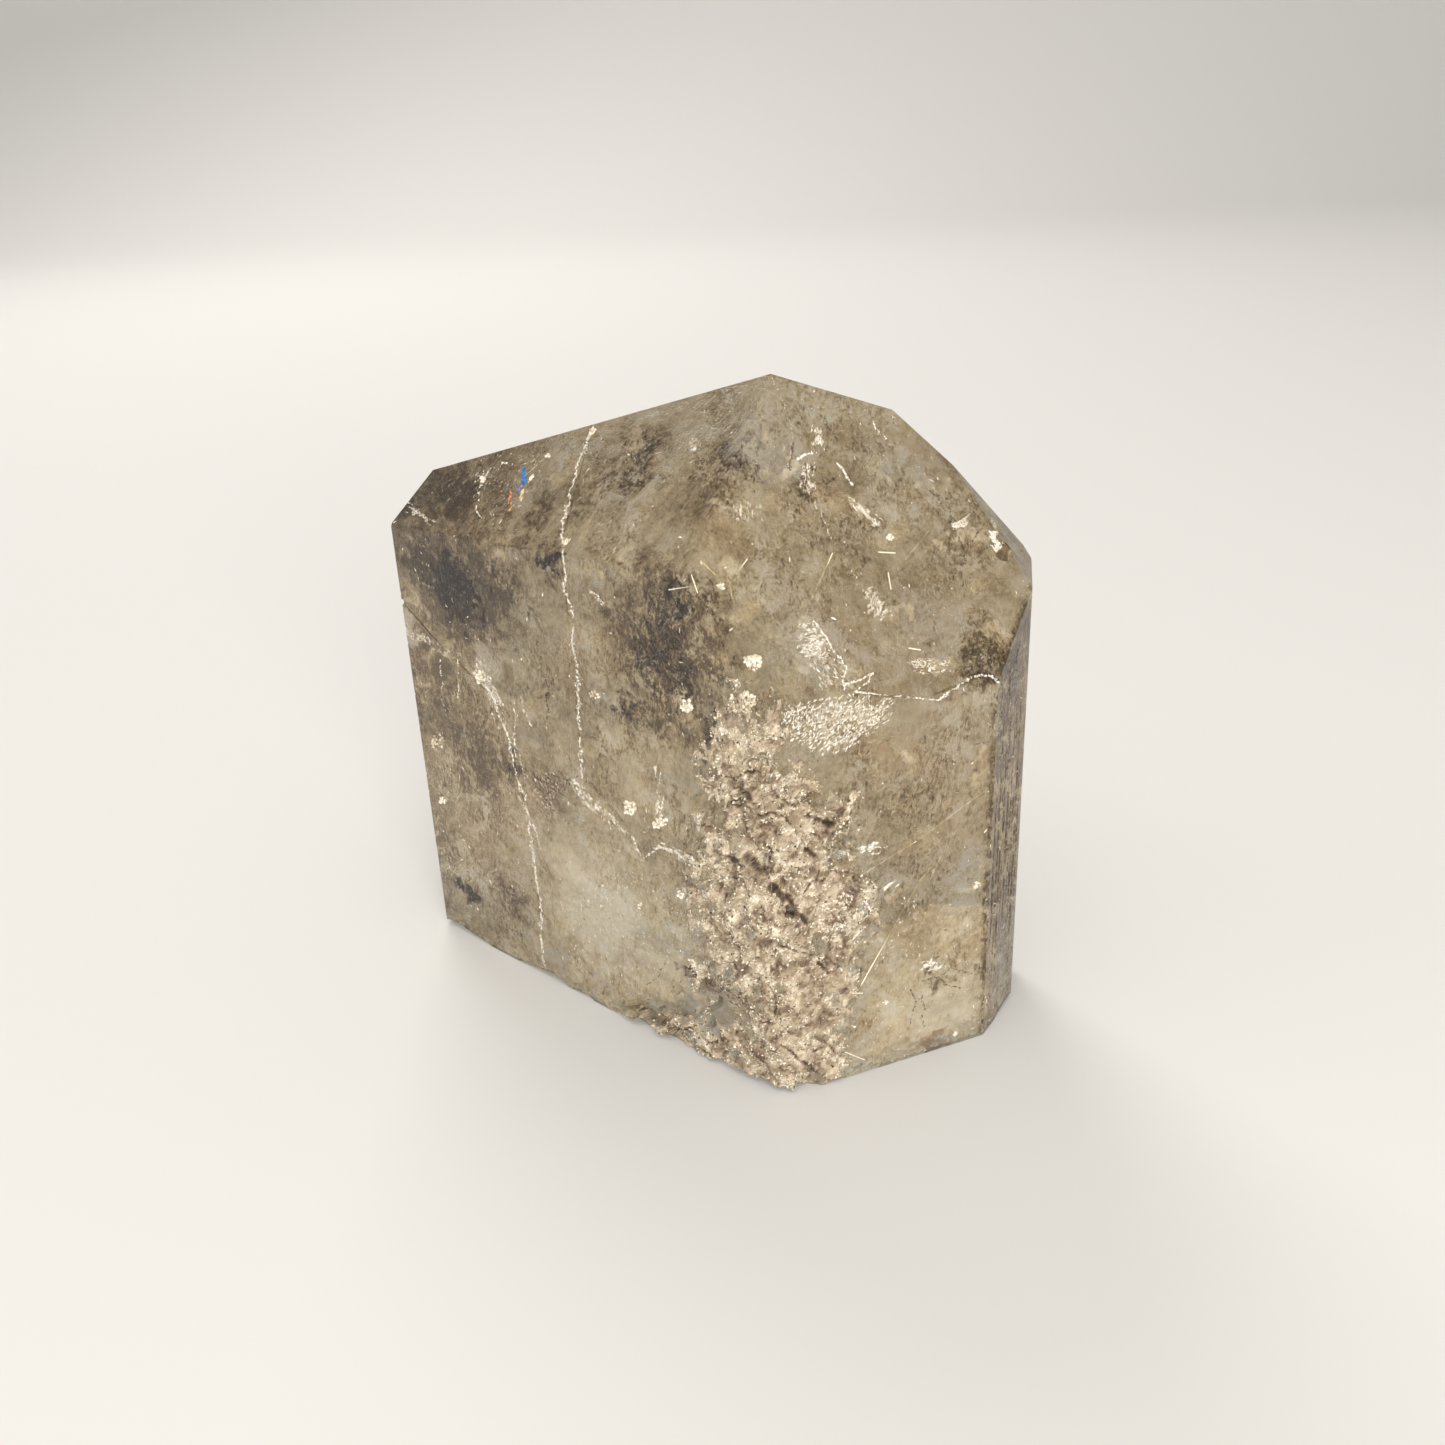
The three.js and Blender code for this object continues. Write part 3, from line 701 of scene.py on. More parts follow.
def crust_cover(point):
    """How far inside the crust a point is in millimetres, below 0 outside, and how rough and bright it is."""
    x, y = wobbled_pixel(point, 16, 3.5)
    pixels_per_mm = PHOTO_SIDE / (point - CAMERA_PLACE).length
    return max((edge_distance(x, y, outline) / pixels_per_mm, *looks) for outline, *looks in CRUST_ZONES)


def crevice_at(point):
    """How deep in a crevice a point lies, from 0 outside to 1 in the middle of one."""
    x, y = wobbled_pixel(point, 2.5, 0.8)
    return max(
        bounded(1.4 - leg_distance(x, y, start, end) / width)
        for route, width in CREVICES
        for start, end in zip(route, route[1:])
    )


def chip_at(point, size):
    """The chip at a point: its own random value, how its face leans there, and how near its border is."""
    distances, centres = noise.voronoi(point / size)
    own = bounded(0.5 + 0.9 * noise.noise(centres[0] * 3.7))
    lean = (point / size - centres[0]).dot(noise.noise_vector(centres[0] * 2.3))
    return own, lean, distances[1] - distances[0]


def crust_at(place):
    """The crust's height over the stone at a point, and its shade."""
    cover, rough, bright = crust_cover(place)
    shaken = place + noise.noise_vector(place / 0.7) * 0.25
    patchy = swell(place, 2.2) + 0.6 * swell(place, 0.9)
    big, big_lean, _ = chip_at(shaken, BIG_CHIP)
    small, small_lean, border = chip_at(shaken, SMALL_CHIP)
    big, small = big - 0.5, small - 0.5
    fold = bounded(1 - abs(swell(place, 1.6, (3, 1, 7))) / FOLD_HALF) * bounded(4 * swell(place, 2.5))
    crevice = max(crevice_at(place), 0.5 * fold)
    ground = min(0.13, 0.05 * cover + 0.18 * patchy - 0.01)
    chips = BIG_LEAN * big_lean + SMALL_LEAN * small_lean + BIG_TOP * big + SMALL_TOP * small
    height = ground + rough * chips * (1 - crevice)
    height = min(height, 0.02) if crevice > 0.4 else height
    crease = bounded(1 - border / CREASE_HALF) * bounded(0.5 + 2 * patchy)
    clump = bounded(0.5 + 1.2 * swell(place, 1.7, (7, 7, 7))) - 0.5
    shade = bright + SMALL_SHADE * small + BIG_SHADE * big + CLUMP_SHADE * clump
    # Painted shade: the creases between chips, the folds and the crevices are darkened.
    shade -= CREASE_PAINTED_SHADE * crease + CREVICE_PAINTED_SHADE * crevice
    return max(-0.35, height), bounded(shade)


def crust_spots():
    """The crust's points on the stone with their normals, heights and shades, and the quads between them."""
    columns = round((CRUST_LEFT + CRUST_RIGHT) / CRUST_STEP)
    rows = round(CRUST_TOP / CRUST_STEP)
    number = {}
    spots = []
    for row in range(rows + 1):
        for column in range(columns + 1):
            across, level = column * CRUST_STEP - CRUST_LEFT, row * CRUST_STEP + CRUST_FOOT
            place, normal = on_front_edge(across, level)
            hit, _, _, _ = surface.ray_cast(place + normal * 5, -normal, 12)
            if hit is None or crust_cover(hit)[0] < -CRUST_BORDER:
                continue
            number[row, column] = len(spots)
            spots.append((hit, normal, *crust_at(hit)))
    return spots, [quad for quad in grid_quads(number) if max(spots[i][2] for i in quad) > CRUST_LOWEST]


CRUST_SPOTS, CRUST_QUADS = crust_spots()


def etched_crust(cluster, draw):
    top = [place + normal * height for place, normal, height, _ in CRUST_SPOTS]
    under = [place - normal * CRUST_ROOT for place, normal, _, _ in CRUST_SPOTS]
    add_shell(cluster, CRUST_QUADS, top, under, [spot[3] for spot in CRUST_SPOTS])


def etched_grains(cluster, draw):
    """Small angular chips in clumps on the crust, most of them cream and a few brown."""
    spots = [CRUST_SPOTS[i] for i in sorted({i for quad in CRUST_QUADS for i in quad})]
    placed = 0
    while placed < CRUST_GRAINS:
        place, normal, height, shade = draw.choice(spots)
        clump = swell(place, 1.1, (2, 9, 4)) + 0.5 * swell(place, 0.5)
        if height < -0.05 or place.z < 0.4 or clump + 2.5 * (shade - 0.5) < draw.uniform(-0.3, 0.6):
            continue
        size = 0.05 + 0.17 * draw.random() ** 2
        along = scattered(draw, 1)
        centre = place + normal * (height + 0.02) + Vector([draw.uniform(-0.1, 0.1) for _ in range(3)])
        own = draw.uniform(0.6, 1.0) if draw.random() < 0.85 else draw.uniform(0.05, 0.35)
        tilted = (normal + scattered(draw, 0.5)).normalized()
        add_flake(cluster, centre, along, tilted, (size, size * 0.6), draw, own, 0.5)
        placed += 1


# A patch of flakes on a small fracture: its outline in pixels, how many flakes, the way that they point in
# degrees, their length and width, the depth that they reach, and how bright they are.
Patch = namedtuple("Patch", "outline count lean size depth shade")

# A line of flakes: its route and width in pixels, how many flakes, and how bright they are.
Line = namedtuple("Line", "route width count shade")

# Frosty fractures just under the surface. On three of them the bright white is a painted glint.
FROST_AND_GLINT_PATCHES = [
    Patch([(780, 712), (796, 701), (856, 694), (896, 699), (890, 722), (868, 736), (850, 753), (820, 756),
        (793, 744)], 2100, 50, (0.36, 0.08), 0.7, 0.84),
    Patch([(797, 622), (812, 622), (828, 640), (826, 660), (806, 662), (796, 645)], 520, 20, (0.28, 0.07),
        0.6, 0.9),
    Patch([(812, 622), (846, 664), (844, 692), (822, 690), (806, 664)], 260, -50, (0.45, 0.07), 1.2, 0.55),
    Patch([(861, 590), (872, 586), (893, 611), (884, 622), (868, 614)], 420, 60, (0.28, 0.06), 0.6, 0.8),
    Patch([(846, 496), (860, 500), (883, 520), (880, 530), (862, 520)], 400, -40, (0.34, 0.05), 0.6, 0.75),
    Patch([(810, 425), (824, 430), (826, 450), (812, 448)], 150, 70, (0.35, 0.08), 0.8, 0.6),
    Patch([(800, 460), (815, 462), (816, 495), (800, 490)], 190, 80, (0.4, 0.08), 0.9, 0.55),
    Patch([(905, 662), (925, 655), (950, 662), (948, 674), (920, 676)], 240, 10, (0.3, 0.1), 0.9, 0.65),
    Patch([(951, 523), (966, 515), (975, 512), (968, 528), (955, 537)], 260, 40, (0.3, 0.08), 0.4, 0.7),
    Patch([(988, 529), (998, 532), (1004, 545), (996, 552), (988, 542)], 200, -50, (0.3, 0.12), 0.4, 0.85),
    Patch([(472, 652), (484, 656), (496, 690), (512, 712), (500, 714), (484, 690)], 480, -55, (0.24, 0.08),
        0.6, 0.85),
    Patch([(398, 618), (424, 634), (452, 652), (470, 655), (462, 664), (430, 650), (404, 634)], 330, -35,
        (0.4, 0.08), 0.8, 0.6),
    Patch([(404, 500), (420, 508), (438, 522), (430, 526), (408, 512)], 210, -35, (0.45, 0.07), 0.5, 0.75),
    Patch([(570, 776), (584, 786), (604, 803), (632, 834), (626, 836), (594, 812), (574, 796)], 420, -40,
        (0.4, 0.09), 0.5, 0.85),
    Patch([(652, 766), (660, 766), (664, 800), (662, 826), (654, 828), (656, 796)], 260, 80, (0.3, 0.1), 0.4,
        0.9),
    Patch([(655, 845), (666, 842), (692, 856), (698, 868), (688, 866), (668, 854)], 240, -30, (0.35, 0.09),
        0.4, 0.85),
    # A small fracture whose bright white is a painted glint.
    Patch([(922, 962), (935, 958), (948, 966), (938, 972), (920, 970)], 170, 15, (0.4, 0.1), 0.4, 1.0),
    Patch([(584, 890), (596, 882), (612, 886), (614, 900), (600, 908), (586, 900)], 170, 85, (0.2, 0.12),
        1.0, 0.8),
    Patch([(560, 870), (690, 862), (700, 990), (640, 1010), (562, 965)], 900, 86, (0.22, 0.09), 0.5, 1.0),
    Patch([(404, 830), (528, 862), (540, 960), (460, 950), (420, 920)], 420, 84, (0.2, 0.08), 0.9, 0.45),
    Patch([(880, 920), (1000, 890), (1000, 1050), (900, 1076), (860, 1060)], 420, 80, (0.22, 0.09), 0.5,
        0.9),
    Patch([(524, 776), (546, 770), (578, 776), (574, 796), (552, 812), (530, 800)], 150, -50, (0.26, 0.09),
        0.3, 0.7),
    # Two small fractures whose bright white is a painted glint.
    Patch([(856, 848), (874, 842), (888, 846), (878, 854), (858, 856)], 120, 15, (0.4, 0.12), 0.3, 1.0),
    Patch([(880, 888), (896, 880), (900, 884), (886, 894)], 70, 30, (0.35, 0.12), 0.3, 0.9),
    Patch([(730, 498), (768, 500), (766, 524), (734, 520)], 90, 85, (0.45, 0.06), 0.6, 0.75),
    Patch([(476, 470), (492, 468), (484, 490), (474, 502), (470, 490)], 100, 60, (0.3, 0.08), 0.4, 0.75),
    Patch([(468, 474), (500, 456), (548, 452), (542, 486), (520, 512), (480, 512)], 170, 65, (0.26, 0.07),
        0.3, 0.8),
    Patch([(684, 432), (702, 440), (698, 458), (682, 452)], 60, 55, (0.45, 0.08), 0.4, 0.9),
    Patch([(590, 590), (606, 600), (602, 606), (588, 598)], 60, -30, (0.3, 0.1), 0.4, 0.85),
    Patch([(806, 890), (820, 882), (842, 882), (858, 892), (866, 908), (862, 926), (846, 938), (824, 936),
        (808, 920)], 1500, 55, (0.4, 0.09), 0.1, 0.6),
    Patch([(676, 885), (692, 888), (696, 930), (686, 932), (680, 905)], 120, 80, (0.3, 0.1), 0.4, 0.85),
]

# The flash of interference colours on one small fracture; the shade picks the colour.
RAINBOW_PATCHES = [
    Patch([(520, 468), (528, 466), (529, 485), (520, 488)], 130, 80, (0.4, 0.13), 0.1, 0.0),
    Patch([(516, 484), (525, 486), (522, 492), (515, 492)], 50, 70, (0.36, 0.12), 0.1, 0.35),
    Patch([(510, 490), (516, 488), (515, 502), (508, 504)], 70, 75, (0.4, 0.12), 0.1, 0.65),
    Patch([(520, 489), (527, 487), (526, 500), (520, 502)], 80, 75, (0.4, 0.12), 0.1, 0.95),
    Patch([(478, 474), (488, 474), (490, 482), (480, 486)], 50, 40, (0.36, 0.12), 0.1, 0.97),
    Patch([(505, 500), (512, 498), (512, 512), (506, 512)], 40, 70, (0.4, 0.1), 0.1, 0.85),
]

# Patches of brown and golden flakes.
BROWN_PATCHES = [
    Patch([(527, 770), (545, 766), (575, 776), (562, 800), (548, 824), (536, 808)], 520, -60, (0.38, 0.12),
        0.2, 0.5),
    Patch([(690, 968), (720, 972), (740, 990), (760, 1008), (748, 1014), (716, 992)], 260, -30, (0.35, 0.12),
        0.2, 0.45),
    Patch([(965, 650), (985, 648), (1000, 662), (1000, 680), (984, 672)], 160, 60, (0.3, 0.1), 0.3, 0.15),
]

# Thin white lines: cracks that have healed. Two faint lines on the tip are painted shade where its tone
# changes from face to face.
CRACK_AND_SHADE_LINES = [
    Line([(592, 426), (579, 463), (572, 487), (563, 522), (561, 544), (564, 572), (565, 592), (572, 608),
        (572, 634), (577, 664), (579, 700), (580, 740), (582, 778)], 2.4, 1700, 0.78),
    Line([(485, 685), (493, 697), (500, 717), (507, 732), (512, 757), (517, 777), (526, 796), (528, 818),
        (532, 848), (538, 880), (542, 910), (541, 934), (544, 966)], 2.4, 1500, 0.78),
    Line([(513, 700), (515, 730), (517, 757)], 1.2, 80, 0.7),
    Line([(488, 672), (497, 690), (508, 722), (520, 752), (525, 780)], 1.2, 130, 0.7),
    Line([(474, 655), (481, 676), (489, 700), (500, 735)], 1.2, 90, 0.7),
    Line([(519, 795), (534, 822), (540, 850)], 1.4, 120, 0.75),
    Line([(521, 696), (527, 716), (531, 726)], 1.3, 70, 0.8),
    # Painted shade along the edge of the tip's kite-shaped face.
    Line([(773, 378), (783, 404), (793, 433), (788, 480)], 0.5, 45, 0.1),
    Line([(457, 657), (458, 680), (457, 698)], 1.4, 90, 0.7),
    Line([(440, 660), (442, 690), (446, 712)], 1.4, 70, 0.6),
    Line([(1000, 685), (990, 676), (980, 675), (962, 683), (938, 700), (915, 698), (893, 696), (858, 692)],
        1.5, 440, 0.85),
    Line([(845, 685), (860, 680), (872, 673), (866, 682), (857, 692)], 1.4, 160, 0.7),
    Line([(638, 861), (650, 854), (663, 844)], 2.4, 150, 0.8),
    Line([(633, 835), (638, 848), (641, 856)], 1.5, 60, 0.7),
    Line([(478, 499), (476, 508), (481, 518)], 1.8, 80, 0.95),
    Line([(797, 461), (803, 455), (815, 452)], 1.6, 80, 0.9),
    Line([(837, 463), (845, 474), (852, 486)], 1.8, 90, 0.8),
    # Painted shade along a faint edge in tone between the tip's faces.
    Line([(815, 500), (835, 552), (870, 590), (893, 618)], 0.8, 70, 0.3),
    Line([(813, 620), (830, 645), (845, 666), (844, 690)], 1.4, 160, 0.8),
    Line([(699, 850), (698, 885), (699, 940)], 1.6, 60, 0.6),
    Line([(866, 900), (869, 912), (865, 926), (852, 940), (832, 945)], 1.4, 160, 0.95),
    Line([(842, 806), (850, 803), (857, 797)], 2.4, 60, 0.85),
    Line([(872, 420), (879, 433), (888, 440)], 1.4, 26, 0.85),
]

# Brown and dark lines: cracks with earthy fillings, and thin dark inclusions.
BROWN_LINES = [
    Line([(683, 965), (694, 972), (703, 976), (713, 981)], 6.0, 420, 0.12),
    Line([(721, 986), (730, 992)], 5.0, 120, 0.1),
    Line([(730, 992), (745, 1003), (758, 1014), (771, 1024)], 1.6, 150, 0.2),
    Line([(667, 957), (660, 975), (648, 985)], 1.0, 60, 0.3),
    Line([(655, 1020), (668, 1026), (684, 1030), (702, 1024)], 1.4, 150, 0.18),
    Line([(923, 981), (940, 977), (952, 968), (966, 972), (978, 975)], 2.0, 120, 0.3),
    Line([(940, 977), (948, 986), (960, 988)], 1.5, 60, 0.32),
    Line([(912, 930), (920, 915), (930, 905), (942, 902)], 1.4, 60, 0.32),
    Line([(920, 915), (914, 900), (905, 895)], 1.2, 40, 0.32),
    Line([(972, 745), (982, 743), (990, 742)], 1.8, 60, 0.25),
    Line([(932, 762), (944, 760), (956, 763)], 2.4, 70, 0.3),
    Line([(820, 414), (828, 427), (838, 440)], 2.2, 110, 0.05),
    Line([(795, 438), (792, 452), (790, 470)], 2.6, 130, 0.05),
    Line([(548, 676), (547, 700), (547, 722)], 2.4, 120, 0.12),
    Line([(912, 988), (914, 1005), (911, 1024)], 1.4, 70, 0.12),
    Line([(922, 992), (924, 1010), (923, 1026)], 1.3, 60, 0.15),
    Line([(531, 772), (540, 783), (548, 778), (556, 787)], 1.3, 90, 0.1),
    Line([(534, 794), (544, 797), (552, 789), (563, 796)], 1.3, 90, 0.1),
    Line([(545, 804), (553, 811), (549, 822)], 1.2, 60, 0.15),
    Line([(558, 770), (566, 781), (576, 776)], 1.2, 60, 0.15),
    Line([(928, 489), (934, 494), (942, 497)], 2.4, 60, 0.1),
    Line([(978, 532), (966, 552), (959, 566), (963, 588)], 1.4, 120, 0.22),
    Line([(1003, 640), (1002, 700), (1001, 760)], 1.3, 160, 0.15),
    Line([(1012, 650), (1010, 720), (1008, 780)], 2.0, 260, 0.12),
    Line([(1019, 640), (1018, 690), (1017, 740)], 1.6, 160, 0.15),
    Line([(1008, 820), (1007, 880), (1005, 940)], 1.5, 180, 0.2),
]

# Round lumps of cream grains: x and y in pixels, radius in pixels, how many grains and how bright they are.
CREAM_LUMPS = [
    (754, 662, 11, 130, 0.85), (687, 706, 8, 70, 0.9), (630, 808, 9, 90, 0.9), (438, 743, 10, 60, 0.75),
    (833, 911, 32, 300, 0.75), (743, 703, 16, 160, 0.75), (721, 586, 4, 20, 0.9), (443, 800, 5, 24, 0.9),
    (595, 695, 7, 30, 0.75), (660, 822, 8, 50, 0.9), (985, 1000, 4, 10, 0.7), (480, 676, 9, 70, 0.9),
    (566, 541, 4, 26, 0.8), (592, 431, 4, 20, 0.9), (890, 537, 4, 22, 1.0), (977, 885, 5, 20, 0.9),
    (483, 480, 3, 12, 0.95), (505, 463, 2.5, 7, 0.95), (548, 455, 2.5, 7, 0.95), (532, 477, 3, 9, 0.95),
    (885, 1002, 2.5, 7, 0.9), (955, 1033, 2.5, 7, 0.9), (680, 894, 6, 26, 0.95), (640, 905, 4, 10, 0.9),
]

# Rutile needles: their two ends in pixels and how deep the ends lie in the stone.
NEEDLES = [
    ((833, 552), (812, 598), 0.02, 0.15), ((748, 558), (727, 587), 0.02, 0.1),
    ((668, 590), (692, 586), 0.02, 0.05), ((681, 597), (699, 593), 0.05, 0.1),
    ((691, 574), (698, 594), 0.02, 0.05), ((860, 987), (919, 882), 0.0, 0.12),
    ((919, 882), (932, 866), 0.12, 0.5), ((857, 877), (918, 840), 0.2, 0.03),
    ((918, 840), (990, 787), 0.03, 0.8), ((908, 648), (921, 650), 0.0, 0.0),
    ((878, 552), (896, 553), 0.0, 0.05), ((845, 1052), (865, 1060), 0.0, 0.0),
    ((850, 993), (863, 993), 0.0, 0.0), ((523, 478), (549, 454), 0.05, 0.1),
    ((888, 572), (891, 590), 0.0, 0.0), ((742, 560), (736, 590), 0.1, 0.3),
    ((700, 560), (716, 575), 0.3, 0.3), ((590, 520), (582, 548), 0.3, 0.5),
    ((930, 880), (941, 856), 0.3, 0.5), ((700, 500), (714, 470), 0.2, 0.4),
    ((640, 860), (652, 880), 0.1, 0.1), ((855, 935), (880, 905), 0.3, 0.6),
    ((640, 530), (628, 560), 0.4, 0.6), ((905, 560), (930, 530), 0.2, 0.5),
]
PHOTO_NEEDLE_RADII = (0.05, 0.075)

# More needles deep in the stone: how many, how thick and long, and how three sets of them lean in degrees.
MORE_NEEDLES = 90
NEEDLE_RADII = (0.02, 0.04)
NEEDLE_HALVES = (1.0, 7.0)
NEEDLE_LEANS = [(25, 10), (80, 35), (-50, 60)]

# How much larger than its count a patch is filled, and what share of the given size its flakes have.
PATCH_FILL = 1.3
FLAKE_SHARE = 0.42
LINE_FLAKE = (0.12, 0.055)


def scatter(outline, draw):
    """A random pixel inside an outline."""
    xs, ys = zip(*outline)
    while True:
        x, y = draw.uniform(min(xs), max(xs)), draw.uniform(min(ys), max(ys))
        if edge_distance(x, y, outline) > 0:
            return x, y


def streaky(patch, draw):
    """A random pixel of a frosty patch, in streaks that run its way and thin out at its border."""
    turn = math.radians(patch.lean)
    while True:
        x, y = scatter(patch.outline, draw)
        along, beside = x * math.cos(turn) - y * math.sin(turn), x * math.sin(turn) + y * math.cos(turn)
        streak = noise.noise(Vector((along / 16, beside / 3.5, patch.count)))
        streak += 0.5 * picture_swell(x, y, 6, 2)
        if edge_distance(x, y, patch.outline) / 9 + 1.6 * streak > draw.random():
            return x, y


def route_point(route, share):
    """The pixel at a share of a route's length, and the way it runs there in degrees."""
    legs = list(zip(route, route[1:]))
    lengths = [math.dist(a, b) for a, b in legs]
    left = share * sum(lengths)
    for (a, b), length in zip(legs, lengths):
        if left <= length:
            break
        left -= length
    part = min(1.0, left / length)
    way = math.degrees(math.atan2(a[1] - b[1], b[0] - a[0]))
    return a[0] + (b[0] - a[0]) * part, a[1] + (b[1] - a[1]) * part, way


def flush_depth(draw, depth):
    """Two flakes in three break the surface, and the rest lie under it."""
    return draw.uniform(-0.03, 0.01) if draw.random() < 0.66 else depth * draw.random()


def add_flakes(cluster, patches, draw, spread):
    """The flakes of frosty patches, with shades that spread round each patch's own."""
    for patch in patches:
        for _ in range(round(PATCH_FILL * patch.count)):
            x, y = streaky(patch, draw)
            spot = in_stone(x, y, flush_depth(draw, patch.depth))
            if spot is None:
                continue
            place, normal = spot
            lean = camera_lean(patch.lean + draw.gauss(0, 25), normal)
            grow = draw.uniform(0.5, 1.4)
            size = [side * grow * FLAKE_SHARE for side in patch.size]
            shade = bounded(patch.shade + draw.gauss(-spread / 2, spread))
            add_flake(cluster, place, lean, normal, size, draw, shade)


def add_lines(cluster, lines, draw):
    """The flakes of lines, which lie along them and thin out in places."""
    for line in lines:
        for _ in range(line.count):
            x, y, way = route_point(line.route, draw.random())
            x += 2.6 * picture_swell(x, y, 9, 3.5) + 1.2 * picture_swell(x, y, 3, 8.5)
            thick = picture_swell(x, y, 7, 0.5)
            if thick < draw.uniform(-0.7, -0.1):
                continue
            wide = line.width * (0.5 + 0.9 * thick)
            x, y = x + draw.gauss(0, 0.5) * wide, y + draw.gauss(0, 0.5) * wide
            spot = in_stone(x, y, flush_depth(draw, 0.3))
            if spot is None:
                continue
            place, normal = spot
            lean = camera_lean(way + draw.gauss(0, 38), normal)
            grow = draw.uniform(0.5, 1.3)
            size = [side * grow for side in LINE_FLAKE]
            shade = bounded(line.shade + draw.gauss(0, 0.2))
            add_flake(cluster, place, lean, normal, size, draw, shade)


def frost(cluster, draw):
    add_flakes(cluster, FROST_AND_GLINT_PATCHES, draw, 0.38)
    add_lines(cluster, CRACK_AND_SHADE_LINES, draw)


def brown_lines(cluster, draw):
    add_lines(cluster, BROWN_LINES, draw)
    add_flakes(cluster, BROWN_PATCHES, draw, 0.35)


def rainbow_flash(cluster, draw):
    add_flakes(cluster, RAINBOW_PATCHES, draw, 0.04)


# Veils are thin wavy sheets inside the stone. Pale ones lie behind the foot of the two front faces: pixel,
# depth and half sizes in millimetres, and brightness.
VEIL_HALF = 0.03
MOTES = 9000
DEEP_VEILS = 60
SHALLOW_VEILS = 110
PALE_VEILS = [
    (612, 915, 1.6, (15, 11), 1.05),
    (680, 985, 2.2, (9, 7), 0.9),
    (925, 990, 2.0, (12, 10), 0.9),
]

# How each kind of veil is made: the step of its grid, how high it waves and how far it keeps from the faces.
Sheet = namedtuple("Sheet", "step wave clearance")
DEEP_SHEET = Sheet(0.75, 2.2, 0.7)
SHALLOW_SHEET = Sheet(0.26, 0.9, 0.7)
PALE_SHEET = Sheet(0.4, 0.8, 0.3)
UNTORN = -3.0
PALE_FADE = 1.2

# The veil over the broken base: the step of its grid, how far it lies over the base, the highest part of the
# base that it follows, and how far it keeps from the faces.
BASE_STEP = 0.45
BASE_LIFT = 0.25
BASE_TOP = 3.0
BASE_CLEARANCE = 0.2


def random_spots(count, draw):
    """Points spread evenly over the whole crystal, with the surface's normal and a random direction in it."""
    polygons = list(crystal.data.polygons)
    for face in draw.choices(polygons, weights=[face.area for face in polygons], k=count):
        a, b, c = (crystal.data.vertices[i].co / MM for i in face.vertices[:3])
        u, v = draw.random(), draw.random()
        if u + v > 1:
            u, v = 1 - u, 1 - v
        along = (b - a).normalized()
        turned = Matrix.Rotation(draw.uniform(0, math.pi), 3, face.normal) @ along
        yield a + (b - a) * u + (c - a) * v, Vector(face.normal), turned


def motes(cluster, draw):
    """Small bright and dark flecks that lie at and just under every face, most of them upright."""
    for place, normal, along in random_spots(MOTES, draw):
        if draw.random() < 0.55:
            upright = Vector((draw.gauss(0, 0.25), draw.gauss(0, 0.25), 1))
            along = (upright - normal * upright.dot(normal) + along * 0.05).normalized()
        if swell(place, 5) + 0.6 * swell(place, 2) < draw.uniform(-0.5, 0.25):
            continue
        depth = draw.uniform(-0.015, 0.02) if draw.random() < 0.5 else draw.uniform(0.05, 1.5)
        grow = draw.random() ** 2
        size = (0.07 + 0.30 * grow, 0.03 + 0.05 * draw.random())
        shade = draw.uniform(0.55, 1.0) if draw.random() < 0.8 else 0.0
        add_flake(cluster, place - normal * depth, along, normal, size, draw, shade)


def add_sheet(cluster, spots, out):
    """A thin sheet through spots: each one's place and shade by its row and column."""
    number = {key: i for i, key in enumerate(spots)}
    quads = list(grid_quads(number))
    top = [place + out * VEIL_HALF for place, _ in spots.values()]
    under = [place - out * VEIL_HALF for place, _ in spots.values()]
    if quads:
        add_shell(cluster, quads, top, under, [shade for _, shade in spots.values()])


def add_veil(cluster, centre, axes, sizes, sheet, torn, bright, fade=0.0):
    """A wavy torn veil: its centre, its two directions and its normal, its half sizes, and its looks."""
    across, along, out = axes
    spots = {}
    columns, rows = (round(size / sheet.step) for size in sizes)
    for row in range(-rows, rows + 1):
        for column in range(-columns, columns + 1):
            place = centre + across * (column * sheet.step) + along * (row * sheet.step)
            place += out * (sheet.wave * swell(place, 9) + 0.25 * sheet.wave * swell(place, 2.5))
            place += noise.noise_vector(place * 7) * (0.5 * sheet.step)
            reach = math.hypot(column / columns, row / rows) + 0.5 * swell(place, 4)
            holes = swell(place, 2.6, (4, 4, 4)) + 0.6 * swell(place, 1.1)
            if reach > 1 or holes < torn or not inside_stone(place, sheet.clearance):
                continue
            shade = bright - fade * max(0.0, reach) + 0.7 * swell(place, 3) + 0.5 * swell(place, 0.8)
            spots[row, column] = place, bounded(shade)
    add_sheet(cluster, spots, out)


def add_base_veil(cluster):
    """A rough milky sheet that follows the broken base, close over it and out to its rim."""
    spots = {}
    for row in range(round((BOX_HIGH.y - BOX_LOW.y) / BASE_STEP) + 1):
        for column in range(round((BOX_HIGH.x - BOX_LOW.x) / BASE_STEP) + 1):
            start = Vector((BOX_LOW.x + column * BASE_STEP, BOX_LOW.y + row * BASE_STEP, -1))
            base, _, _, _ = surface.ray_cast(start, UPRIGHT)
            if base is None or base.z > BASE_TOP:
                continue
            place = base + UPRIGHT * (BASE_LIFT + 0.1 * swell(base, 1.5))
            if inside_stone(place, BASE_CLEARANCE):
                spots[row, column] = place, bounded(0.85 + 0.5 * swell(place, 3) + 0.5 * swell(place, 0.8))
    add_sheet(cluster, spots, UPRIGHT)


